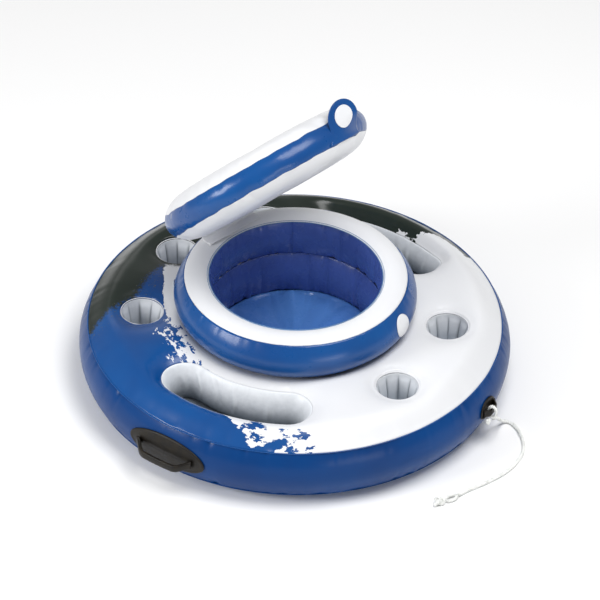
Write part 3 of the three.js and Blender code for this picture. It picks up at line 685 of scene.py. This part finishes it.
# The print, as (azimuth in degrees, radius in millimetres) from stop to stop
BLUE_OUTLINE = [
    (70, 300), (87, 312), (100.5, 285), (117.5, 268), (137.5, 262), (156.5, 268), (172.5, 330), (187.5, 374),
    (212.5, 424), (214, 450), (190, 450), (160, 450), (130, 450), (100, 450), (70, 450),
]
GREY_OUTLINE = [
    (90, 302), (112, 332), (125.5, 421), (127, 450), (90, 450), (50, 450), (10, 450), (-36, 450),
    (-70, 450), (-70, 300), (-70, 190), (-30, 190), (0, 190), (30, 190), (60, 190), (84, 190),
]
GREY_WHITE_OUTLINE = [
    (88, 190), (92, 300), (150, 330), (150, 450), (90, 450), (50, 450), (10, 450), (-36, 450),
    (-34.5, 424), (-20.5, 398), (-6.5, 328), (-0.5, 300), (-0.5, 190), (30, 190), (60, 190),
]
# Where the print is splashed: azimuth, radius, reach and strength
SPLASHES = [
    (137, 276, 42, 0.9), (149, 282, 42, 1), (162, 296, 42, 1), (197, 392, 44, 1), (207, 412, 42, 1),
    (-30, 410, 50, 0.2), (-12, 345, 40, 0.8),
]


def add_top_skin():
    step = 5 * MM
    plan = []
    for radius in np.arange(0.188, SEAM_RADIUS - 2 * MM, step):
        count = int(TURN * radius / step)
        angle = (np.arange(count) + 0.5 * (len(plan) % 2)) / count * TURN
        plan.append(np.stack([radius * np.cos(angle), radius * np.sin(angle)], -1))
    plan = np.concatenate(plan)
    plan = plan[well_distances(*plan.T).min(0) > 12 * MM]
    loops, loose = [], [plan]
    for radius, count in ((SEAM_RADIUS, 540), (WAIST_RADIUS, 230)):
        loops.append(turned(radius, around(count)[0], 0)[:, :2])
    for azimuth in CUP_AZIMUTHS:
        rings = [np.array(cup_centre(azimuth)) + turned(CUP_RADIUS + out * MM, around(72)[0], 0)[:, :2]
                 for out in (0, 1.5, 3, 4.5, 6.5, 9)]
        loops.append(rings[0])
        loose += rings[1:]
    for azimuth in POCKET_AZIMUTHS:
        rings = [spun(pocket_outline(POCKET_WIDTHS[0] + out * MM, 180)[0], azimuth) for out in (0, 2, 4.5, 8)]
        loops.append(rings[0])
        loose += rings[1:]
    edges, points = [], []
    for loop in loops:
        start = len(points)
        points += loop.tolist()
        edges += [(start + i, start + (i + 1) % len(loop)) for i in range(len(loop))]
    points += np.concatenate(loose).tolist()
    plan, _, triangles, *_ = delaunay_2d_cdt([Vector(p) for p in points], edges, [], 0, 1e-7)
    plan = np.array([list(p) for p in plan])
    triangles = np.array([t for t in triangles if len(t) == 3])
    x, y = plan[triangles].mean(1).T
    kept = (well_distances(x, y).min(0) > 0) & (np.hypot(x, y) > WAIST_RADIUS * 0.9999)
    triangles = triangles[kept]
    used, triangles = np.unique(triangles, return_inverse=True)
    triangles = triangles.reshape(-1, 3)
    x, y = plan[used].T
    corners = np.stack([x, y], -1)[triangles]
    one, two = corners[:, 1] - corners[:, 0], corners[:, 2] - corners[:, 0]
    down = one[:, 0] * two[:, 1] - one[:, 1] * two[:, 0] < 0
    triangles[down] = triangles[down][:, ::-1]
    skin = add_piece(
        "top_skin", np.stack([x, y, top_skin_height(x, y)], -1), triangles, "printed_vinyl", "float",
        ["float_top_skin"], weld=False,
    )
    azimuth, radius = np.arctan2(y, x), np.hypot(x, y)
    sweep = (azimuth + math.radians(60)) % TURN
    ragged = np.zeros(len(x))
    for centre, reach, size, strength in SPLASHES:
        cx, cy = polar_outline([(centre, reach)], 1)[0]
        near = np.exp(-(((x - cx) ** 2 + (y - cy) ** 2) / (size * MM) ** 2))
        ragged = np.maximum(ragged, strength * near)
    facts = {
        "print_blue": inside_distance(x, y, polar_outline(BLUE_OUTLINE)),
        "print_grey": inside_distance(x, y, polar_outline(GREY_OUTLINE)),
        "print_grey_white": inside_distance(x, y, polar_outline(GREY_WHITE_OUTLINE)),
        "print_ragged": ragged,
    }
    for name, values in facts.items():
        add_fact(skin, name, values)
    flow = np.stack([sweep * 0.31 * 0.6, radius, np.zeros(len(x))], -1).astype(np.float32)
    skin.data.attributes.new("print_flow", "FLOAT_VECTOR", "POINT").data.foreach_set("vector", flow.ravel())


def add_bead(name, radius, height, size, look="weld_vinyl"):
    """The thin edge of a weld that stands out all round a seam. size is its reach and its thickness."""
    a = around(360)
    t = shares(9)[:-1] * TURN
    r = radius + size[0] * np.cos(t)
    points = turned(r, a, height + size[1] * np.sin(t) + waves(a, 23, 0.15 * MM, 40))
    points = np.concatenate([points, points[:1]])
    add_grid(name, points, look, flip=True, film=0)


# ---- Collar and cooler ----


def collar_point(azimuth, t, proud=0.0):
    radius, height, out = bulging(COLLAR_BASE, COLLAR_SEAM, COLLAR_BULGE, t)
    return turned(radius + out[0] * proud, azimuth, height + out[1] * proud)


def add_collar():
    a = around(720)
    t = shares(34)
    proud = folds(a, (1 - t) * 0.1, 110, 1.3 * MM, 0.02, 13 * MM, 50)
    proud = proud + folds(a, t * 0.1, 80, 1.3 * MM, 0.025, 13 * MM, 51)
    proud = proud + waves(a, 7, 0.7 * MM, 52) * np.sin(math.pi * t)
    add_grid("collar_wall", collar_point(a, t, proud), "blue_vinyl", "collar_outer_wall", weld=False)
    t = shares(16)
    radius, height, _ = bulging(COLLAR_SEAM, MOUTH, BAND_CROWN, t)
    height = height + folds(a, t * 0.05, 90, 0.7 * MM, 0.02, 7 * MM, 53) * smooth(0, 0.15, t)
    height = height + folds(a, (1 - t) * 0.05, 90, 0.7 * MM, 0.02, 7 * MM, 54) * smooth(1, 0.85, t)
    add_grid("collar_band", turned(radius, a, height), "white_vinyl", "collar_top_band", weld=False)
    add_bead("mouth_weld_outer", MOUTH[0] + 3.2 * MM, MOUTH[1] + 1.7 * MM, (0.5 * MM, 0.5 * MM))
    add_bead("mouth_weld_inner", MOUTH[0] - 0.3 * MM, MOUTH[1] + 0.4 * MM, (0.8 * MM, 0.7 * MM))


def add_liner(name, top, foot, replaced, seed, welds):
    a = around(720)
    t = shares(34)
    radius, height, out = bulging(top, foot, LINER_BULGE, t)
    draw = np.random.default_rng(seed)
    proud = folds(a, t * 0.09, 120, 1.3 * MM, 0.02, 14 * MM, seed)
    proud = proud + folds(a, (1 - t) * 0.09, 120, 1.8 * MM, 0.022, 22 * MM, seed + 1)
    for i in range(welds):
        centre = (i + draw.uniform(-0.25, 0.25)) / welds * TURN
        gap = np.abs((a - centre + math.pi) % TURN - math.pi) * MOUTH[0]
        proud = proud - draw.uniform(3, 6) * MM * np.exp(-gap / (5.5 * MM)) * np.sin(math.pi * t) ** 0.5
    add_grid(
        name, turned(radius + out[0] * proud, a, height + out[1] * proud), "liner_blue", replaced,
        weld=False,
    )


def add_cooler():
    waist = (WAIST_RADIUS, WAIST_HEIGHT)
    above = (WAIST_RADIUS, WAIST_HEIGHT + 0.6 * MM)
    add_liner("liner_upper", MOUTH, above, "cooler_liner_upper", 60, 9)
    add_liner("liner_lower", waist, LINER_FOOT, "cooler_liner_lower", 64, 15)
    weld = (1.4 * MM, 0.7 * MM)
    add_bead("waist_weld", WAIST_RADIUS - 0.6 * MM, WAIST_HEIGHT + 0.4 * MM, weld, "liner_blue")
    a = around(360)
    t = shares(50)
    radius = LINER_FOOT[0] * t
    height = LINER_FOOT[1] - FLOOR_SAG * (1 - t ** 2)
    inward = LINER_FOOT[0] - radius
    slack = folds(a, inward, 34, 9 * MM, 0.09, 60 * MM, 70) * smooth(1, 0.93, t)
    slack = slack + folds(a, inward, 40, 3 * MM, 0.035, 30 * MM, 71) * smooth(1, 0.96, t)
    height = height + np.maximum(slack, -4 * MM) * smooth(0, 0.35, t)
    rumple = np.sin(23 * radius * np.cos(a) + 1) * np.cos(31 * radius * np.sin(a))
    height = height + 2.5 * MM * rumple * (1 - t)
    add_grid("cooler_floor_sheet", turned(radius, a, height), "lit_floor_blue", "cooler_floor", flip=True)


def add_patch():
    t = shares(10)
    a = around(64)
    reach = DISC_RADIUS * np.minimum(t * 1.02, 1)
    proud = np.where(t > 0.98, 0.3 * MM, 1.3 * MM + 0.5 * MM * np.exp(-(((t - 0.9) / 0.05) ** 2)))
    low, high = (collar_point(0.0, np.array(PATCH_SHARE + s)) for s in (-0.02, 0.02))
    per_share = np.linalg.norm(high - low) / 0.04
    across, up = reach * np.cos(a), reach * np.sin(a)
    share = PATCH_SHARE + up / per_share
    radius, _, _ = bulging(COLLAR_BASE, COLLAR_SEAM, COLLAR_BULGE, share)
    points = collar_point(across / radius - math.pi / 2, share, proud + 0 * a)
    add_grid("latch_patch_disc", points, "white_vinyl", "latch_patch")


# ---- Drink wells and pockets ----


def add_cups():
    for i, azimuth in enumerate(CUP_AZIMUTHS):
        draw = np.random.default_rng(80 + i)
        lobes = 10
        a = around(240)
        t = shares(40)
        height = CROWN - (CROWN - CUP_FLOOR_HEIGHT) * t
        radius = np.interp(height, CUP_PROFILE[0], CUP_PROFILE[1])
        phase = draw.uniform(0, TURN)
        turn = (a + phase + 0.17 * t * np.sin(5 * a + 5 * phase)) % TURN
        lobe = np.floor(turn / TURN * lobes).astype(int)
        size = draw.uniform(0.75, 1.2, lobes)[lobe]
        pillow = np.abs(np.sin(turn * lobes / 2)) ** 0.3
        depth = np.sin(math.pi * np.clip(t * 1.06, 0, 1)) ** 0.6 * smooth(0, 0.2, t)
        radius = radius - 6.5 * MM * size * pillow * depth + 2.6 * MM * depth
        radius = radius + folds(a, t * 0.08, 40, 0.5 * MM, 0.05, 20 * MM, 84 + i) * smooth(0, 0.2, t)
        x, y = cup_centre(azimuth)
        place = Matrix.Translation((x, y, 0))
        wall = add_grid(
            f"cup_wall_{i + 1}", placed(turned(radius, a, height), place), "well_vinyl",
            f"cup_sleeve_{i + 1}", weld=False,
        )
        # Painted shade: how dark each point of a pleat crease is painted, read by the well material.
        add_fact(wall, "pleat_shade", np.clip(1.35 - 1.7 * pillow, 0, 1) * depth * 0.9)
        rim = placed(turned(CUP_RADIUS + 1.2 * MM, a, 0 * a), place)
        level = top_skin_height(rim[..., 0], rim[..., 1])
        q = shares(9) * TURN
        ring = turned(CUP_RADIUS + (1.2 + 1.1 * np.cos(q)) * MM, a, level + (0.3 + 0.9 * np.sin(q)) * MM)
        add_grid(f"cup_rim_{i + 1}", placed(ring, place), "white_vinyl", flip=True, film=0)
        t = shares(16)
        puckers = folds(a, (1 - t) * 34 * MM, 26, 1.6 * MM, 0.09, 16 * MM, 90 + i) * smooth(0, 0.4, t)
        points = turned(34 * MM * t, a, CUP_FLOOR_HEIGHT + 1.5 * MM * (2 - t ** 2) + puckers)
        add_grid(
            f"cup_base_{i + 1}", placed(points, place), "well_vinyl", f"cup_floor_{i + 1}", flip=True,
        )


def add_pockets():
    count = 300
    for i, azimuth in enumerate(POCKET_AZIMUTHS):
        rows = []
        s = np.arange(count) / count * TURN
        rim = spun(pocket_outline(POCKET_WIDTHS[0], count)[0], azimuth)
        top = top_skin_height(*rim.T)[:, None]
        for t in np.linspace(0, 1, 30):
            half = POCKET_WIDTHS[0] + (POCKET_WIDTHS[1] - POCKET_WIDTHS[0]) * t
            half -= 15 * MM * math.sin(math.pi * t) ** 0.8
            plan, normal = pocket_outline(half, count)
            crease = folds(s, np.array(abs(t - 0.55) * 0.05), 26, 2.4 * MM, 0.035, 45 * MM, 100 + i)
            plan = plan + normal * (crease * math.sin(math.pi * t))[:, None]
            height = top + (POCKET_FLOOR_HEIGHT - top) * t
            rows.append(np.concatenate([spun(plan, azimuth), height], 1))
        add_grid(
            f"pocket_wall_{i + 1}", np.array(rows), "pocket_vinyl", f"pocket_sleeve_{i + 1}", weld=False,
        )
        rows = []
        for t in np.linspace(1, 0, 12):
            plan, _ = pocket_outline(max((POCKET_WIDTHS[1] + 1 * MM) * t, 0.05 * MM), count)
            rise = folds(s, np.array(0.04 * (1 - t)), 60, 2.2 * MM, 0.05, 30 * MM, 110 + i) * (1 - t ** 4)
            height = POCKET_FLOOR_HEIGHT + 1.4 * MM + np.maximum(rise, -1 * MM)
            rows.append(np.concatenate([spun(plan, azimuth), height[:, None]], 1))
        add_grid(
            f"pocket_base_{i + 1}", np.array(rows), "pocket_vinyl", f"pocket_floor_{i + 1}", weld=False,
        )


# ---- Handles ----


def on_side_wall(along, height, proud):
    """A point on the side wall about +X, `along` it and standing proud of it."""
    return turned(side_wall_radius(height) + proud, along / WIDEST_RADIUS, height)


def handle_plate(size):
    a = around(160)
    profile = [  # millimetres in from the edge, standing proud
        (99, 1.0), (40, 1.0), (9, 1.0), (0.9, 1.0), (0, 1.6), (0, 2.9), (0.9, 3.9), (2.6, 4.4), (4.6, 4.3),
        (6.6, 3.8), (8.6, 3.5), (12, 3.4), (18, 3.4), (28, 3.5), (60, 3.6), (99, 3.6),
    ]
    inset, proud = np.array(profile).T[:, :, None] * MM
    length, tall = size["plate"]
    along = np.maximum(length - inset, 0) * np.cos(a)
    height = size["height"] + np.maximum(tall - inset, 0) * np.sin(a)
    return on_side_wall(along, height, proud + 0 * a)


def handle_grip(size):
    """A strap of rounded section that stands off the plate on two sloping legs."""
    steps = 90
    u = np.linspace(-1, 1, steps)
    leg = np.clip((1 - np.abs(u)) / size["leg"], 0, 1)
    rise = smooth(0, 1, leg) * 0.35 + leg * 0.65
    rise = np.convolve(np.pad(rise, 4, mode="edge"), np.ones(9) / 9, "valid")
    middle = GRIP_BACK_RADIUS + size["proud"] * rise + size["section"][0]
    angle = size["half_base"] * u / WIDEST_RADIUS
    path = np.stack([middle * np.cos(angle), middle * np.sin(angle)], -1)
    run = np.gradient(path, axis=0)
    run /= np.linalg.norm(run, axis=1)[:, None]
    out = np.stack([run[:, 1], -run[:, 0]], -1)
    flare = 1 + 0.35 * np.exp(-(1 - np.abs(u)) / 0.09)
    q = np.arange(28) / 28 * TURN
    square = (np.abs(np.cos(q)) ** 3.2 + np.abs(np.sin(q)) ** 3.2) ** (-1 / 3.2)
    thick, tall = size["section"][0] * square * np.cos(q), size["section"][1] * square * np.sin(q)
    rows = []
    for k in range(steps):
        plan = path[k] + out[k] * thick[:, None]
        height = size["height"] - size["droop"] * rise[k] + tall * flare[k]
        rows.append(np.concatenate([plan, height[:, None]], 1))
    first, last = (np.repeat(r.mean(0)[None], 28, 0) for r in (rows[0], rows[-1]))
    return np.array([first, *rows, last])


def add_handles():
    for name, (rel, size) in HANDLES.items():
        place = Matrix.Rotation(math.radians(rel - 90), 4, "Z")
        for kind, points in (("plate", handle_plate(size)), ("grip", handle_grip(size))):
            add_grid(
                f"{name}_{kind}_moulding", placed(points, place), "black_moulding",
                f"{name}_{kind}", flip=kind == "grip", film=0,
            )


# ---- Lid ----


def lid_seam_shift(a, side):
    return waves(a, 19, 1.3 * MM, 120 + side)


def lid_face(side):
    a = around(600)
    t = np.sin(shares(64) * math.pi / 2)
    radius = LID_SEAM * t
    height = LID_HALF_BAND + LID_DOME * (1 - t ** LID_DOME_POWER)
    x, y = radius * np.cos(a), radius * np.sin(a)
    for offset in (-WEB_OFFSET, WEB_OFFSET):
        along = smooth(WEB_REACH + 10 * MM, WEB_REACH - 30 * MM, np.abs(y))
        height = height - WEB_GROOVE * along * np.exp(-np.abs(x - offset) / (12 * MM))
    puckers = folds(a, (1 - t) * LID_SEAM, 90, 1.8 * MM, 0.022, 20 * MM, 130 + side)
    height = height + puckers * smooth(1, 0.97, t)
    height = height + lid_seam_shift(a, side) * smooth(0.7, 1, t)
    return turned(radius, a, side * height)


def add_lid():
    for side, name in ((1, "top"), (-1, "bottom")):
        add_grid(
            f"lid_{name}", placed(lid_face(side), LID), "white_vinyl", f"lid_{name}_skin", body="lid",
            flip=side > 0,
        )
    a = around(600)
    t = shares(24)
    low = -LID_HALF_BAND - lid_seam_shift(a, -1)
    high = LID_HALF_BAND + lid_seam_shift(a, 1)
    height = low + (high - low) * t
    radius = LID_SEAM + (LID_EDGE - LID_SEAM) * 4 * t * (1 - t)
    radius = radius + folds(a, t * 0.048, 100, 1.1 * MM, 0.02, 9 * MM, 140) * smooth(0, 0.06, t)
    radius = radius + folds(a, (1 - t) * 0.048, 100, 1.1 * MM, 0.02, 9 * MM, 141) * smooth(1, 0.94, t)
    band = placed(turned(radius, a, height), LID)
    add_grid("lid_band", band, "blue_vinyl", "lid_side_band", body="lid", weld=False)
    for name in ("lid_web_1", "lid_web_2"):
        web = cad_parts[name]
        web.data.materials.clear()
        web.data.materials.append(LOOKS["web_vinyl"])


def add_hinge_strip():
    """One strip of film from the collar band, over the hinge line, up to the lid's lower seam."""
    u = np.linspace(-STRIP_HALF_LENGTH, STRIP_HALF_LENGTH, 41)
    path = [(y, -1.5 * MM) for y in np.linspace(STRIP_REACH, 2 * MM, 12)]
    lean, rise, y = math.sin(LID_TILT), math.cos(LID_TILT), -0.8 * MM
    path += [(y * rise - z * lean, y * lean + z * rise) for z in np.linspace(1.5 * MM, STRIP_STAND, 16)]
    ripple = [0.25 * MM * np.sin(u * 260 + k) for k in range(len(path))]
    rows = [np.stack([u, 0 * u + y, z + wave], -1) for (y, z), wave in zip(path, ripple)]
    strip = add_grid(
        "hinge_strip", placed(np.array(rows), HINGE), "white_vinyl",
        "hinge_strip_collar", "hinge_strip_lid", body=None, closed=False, film=0.8 * MM, weld=False,
    )
    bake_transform(strip)


# ---- Latch ----


def tab_half_width(height):
    """From wide shoulders at the seam, over a waist, to a round end."""
    straight = TAB_HALF_WIDTH + TAB_SHOULDER * np.exp(-height / (13 * MM))
    past = np.clip((height - TAB_ROUND_START) / (TAB_HEIGHT - TAB_ROUND_START), 0, 1)
    return straight * np.sqrt(np.maximum(1 - past ** 2, 0))


def tab_depth(x, height):
    """Towards the band from the flat tab: it hugs the band low down, and curls and twists away above."""
    hug = 1 - 0.7 * smooth(20 * MM, TAB_HEIGHT, height)
    twist = TAB_TWIST * smooth(4 * MM, 50 * MM, height) * (x + 30 * MM)
    curl = 1.5 * MM * smooth(30 * MM, TAB_HEIGHT, height) ** 2
    return x ** 2 / (2 * 227 * MM) * hug - curl - 0.4 * MM - twist


def add_latch():
    height = TAB_HEIGHT * np.sin(shares(60) * math.pi / 2)
    x = np.linspace(-1, 1, 49)[None, :] * tab_half_width(height)
    edge = np.minimum(tab_half_width(height) - np.abs(x), TAB_HEIGHT - height)
    weld = 0.5 * MM * np.exp(-(((edge - 3.5 * MM) / (1 * MM)) ** 2))
    points = np.stack(np.broadcast_arrays(x, tab_depth(x, height) - weld, height + 0 * x), -1)
    tab = placed(points, LATCH)
    add_grid("latch_flap", tab, "blue_vinyl", "latch_tab", body="latch", closed=False, film=1.6 * MM)
    a = around(72)
    profile = [(0, 1.4), (0.5, 1.4), (0.84, 1.3), (0.88, 1.0), (0.92, 1.5), (0.97, 1.5), (1, 0.9), (1, 0.1)]
    share, proud = np.array(profile).T[:, :, None]
    x = DISC_RADIUS * share * np.cos(a)
    height = DISC_HEIGHT + DISC_RADIUS * share * np.sin(a)
    points = np.stack([x, tab_depth(x, height) - (proud + 0.3) * MM, height], -1)
    disc = placed(points, LATCH)
    add_grid("latch_button", disc, "white_vinyl", "latch_disc", body="latch", flip=True, film=0.8 * MM)


# ---- Valves ----


def add_valves():
    # Turned profiles, as (radius, height) in millimetres
    body = [
        (5, -12), (7.4, -12), (8, -11.4), (8, 1.2), (12.4, 1.2), (13, 1.5), (13, 2.2), (12.6, 2.7),
        (11.6, 2.7), (11.2, 2.4), (10.6, 2.4), (10.2, 2.7), (5.4, 2.7), (5, 2.4), (5, -12),
    ]
    plug = [
        (0, -6), (3.9, -6), (4.7, -5.2), (4.7, -3), (4.4, -2.6), (4.4, -1.8), (4.7, -1.4), (4.7, 3), (8, 3),
        (8.5, 3.4), (8.5, 5), (8.1, 5.5), (7.2, 5.5), (6.9, 5.1), (2.4, 5.1), (2, 5.5), (0, 5.5),
    ]
    for name, (carrier, place) in VALVES.items():
        for profile, kind, rider in ((body, "body", carrier), (plug, "plug", f"{name}_plug")):
            radius, height = np.array(profile).T[:, :, None] * MM
            points = placed(turned(radius, around(64), height), place)
            add_grid(f"{name}_{kind}", points, "valve_vinyl", f"{name}_valve_{kind}", body=rider, film=0)


# ---- Tow rope ----


def through(stops, step):
    """Points about `step` apart on the centripetal Catmull-Rom curve through the stops."""
    stops = np.array(stops, float)
    stops = np.concatenate([[2 * stops[0] - stops[1]], stops, [2 * stops[-1] - stops[-2]]])
    points = []
    for a, b, c, d in zip(stops, stops[1:], stops[2:], stops[3:]):
        one, two, three = (math.sqrt(np.linalg.norm(q - p)) for p, q in ((a, b), (b, c), (c, d)))
        leave = ((b - a) / one - (c - a) / (one + two) + (c - b) / two) * two
        arrive = ((c - b) / two - (d - b) / (two + three) + (d - c) / three) * two
        for t in np.linspace(0, 1, 24, endpoint=False):
            points.append(
                b * (2 * t ** 3 - 3 * t ** 2 + 1) + leave * (t ** 3 - 2 * t ** 2 + t)
                + c * (3 * t ** 2 - 2 * t ** 3) + arrive * (t ** 3 - t ** 2)
            )
    points = np.array([*points, stops[-2]])
    run = np.concatenate([[0], np.cumsum(np.linalg.norm(np.diff(points, axis=0), axis=1))])
    even = np.linspace(0, run[-1], int(run[-1] / step) + 1)
    return np.stack([np.interp(even, run, points[:, i]) for i in range(3)], -1)


def strand_share(angle):
    """The outline of three strands laid together, as a share of the rope's radius."""
    turn = (angle + math.pi / 3) % (2 * math.pi / 3) - math.pi / 3
    bow = np.sqrt(np.maximum(0.464 ** 2 - (0.536 * np.sin(turn)) ** 2, 0))
    return np.maximum(0.536 * np.cos(turn) + bow, 0.7)


def laid_rope(path, radius, pitch, closed=False):
    """A twisted rope along a path, as a grid of points."""
    path = np.asarray(path)
    ahead, behind = np.roll(path, -1, axis=0), np.roll(path, 1, axis=0)
    if not closed:
        ahead[-1], behind[0] = path[-1], path[0]
    run = ahead - behind
    run /= np.linalg.norm(run, axis=1)[:, None]
    side = np.cross(run[0], [0.3, 0.2, 1])
    side /= np.linalg.norm(side)
    length = 0.0
    total = np.linalg.norm(np.diff(path, axis=0), axis=1).sum()
    turns = max(1, round(3 * total / pitch)) / 3 / total
    q = np.arange(30) / 30 * TURN
    rows = []
    for k, (point, heading) in enumerate(zip(path, run)):
        side = side - heading * (side @ heading)
        side /= np.linalg.norm(side)
        up = np.cross(heading, side)
        length += np.linalg.norm(point - path[k - 1]) if k else 0
        reach = radius * strand_share(q - TURN * length * turns)
        rows.append(point + reach[:, None] * (np.cos(q)[:, None] * side + np.sin(q)[:, None] * up))
    if closed:
        return np.array([*rows, rows[0]])
    first, last = (np.repeat(r.mean(0)[None], 30, 0) for r in (rows[0], rows[-1]))
    return np.array([first, *rows, last])


def oval(half_x, half_y, count=90):
    a = np.arange(count) / count * TURN
    return np.stack([half_x * np.cos(a), half_y * np.sin(a), 0 * a], -1)


def trefoil(size, rope_radius, count=220):
    """A closed overhand knot that fills an ellipsoid of half size `size`."""
    a = np.arange(count) / count * TURN
    across, along = (np.sin(a) + 2 * np.sin(2 * a)) / 3, (np.cos(a) - 2 * np.cos(2 * a)) / 3
    return np.stack([across, along, -np.sin(3 * a)], -1) * (np.array(size) * MM - rope_radius)


def add_rope():
    path = through(ROPE_ROUTE, 1.5 * MM)
    radius = ROPE_DIAMETER / 2
    rope = add_grid("rope", laid_rope(path, radius * 1.12, ROPE_PITCH), "rope", "tow_rope", film=0)
    length = float(np.linalg.norm(np.diff(path, axis=0), axis=1).sum())
    hitch = Matrix.Translation(HITCH_PLACE) @ Matrix.Rotation(math.pi / 2, 4, "Y")
    knot = Matrix.Translation(HITCH_KNOT_PLACE)
    tail = Matrix.Translation(Vector(ROPE_ROUTE[-1])) @ Matrix.Rotation(ROPE_HEADING, 4, "Z")
    eye = tail @ Matrix.Translation((EYE_OFFSET, 0, 0))
    end = tail @ Matrix.Translation(END_KNOT_OFFSET)
    small, large = 2.8 * MM, 4 * MM
    for name, loop, size, place, node in (
        ("rope_loop", oval(13.5 * MM, 8 * MM), radius, hitch, "rope_hitch"),
        ("rope_loop_knot", trefoil((7.5, 6, 7), small), small, knot, "rope_hitch_knot"),
        ("rope_end_eye", oval(13 * MM, 6.5 * MM), radius * 1.1, eye, "rope_eye"),
        ("rope_stopper", trefoil((14.5, 11, 8.4), large), large, end, "rope_end_knot"),
    ):
        strands = laid_rope(placed(loop, place), size, 12 * MM, closed=True)
        add_grid(name, strands, "rope", node, film=0)


add_camera()
add_surroundings()
add_rope()
add_side_wall()
add_bottom_skin()
add_top_skin()
for end, seam in (("top", TOP_SEAM + 0.2 * MM), ("bottom", BOTTOM_SEAM - 0.2 * MM)):
    add_bead(f"side_seam_{end}", SEAM_RADIUS + 0.2 * MM, seam, SEAM_BEAD, "blue_vinyl")
add_collar()
add_cooler()
add_patch()
add_cups()
add_pockets()
add_handles()
add_lid()
add_hinge_strip()
add_latch()
add_valves()
add_floor()
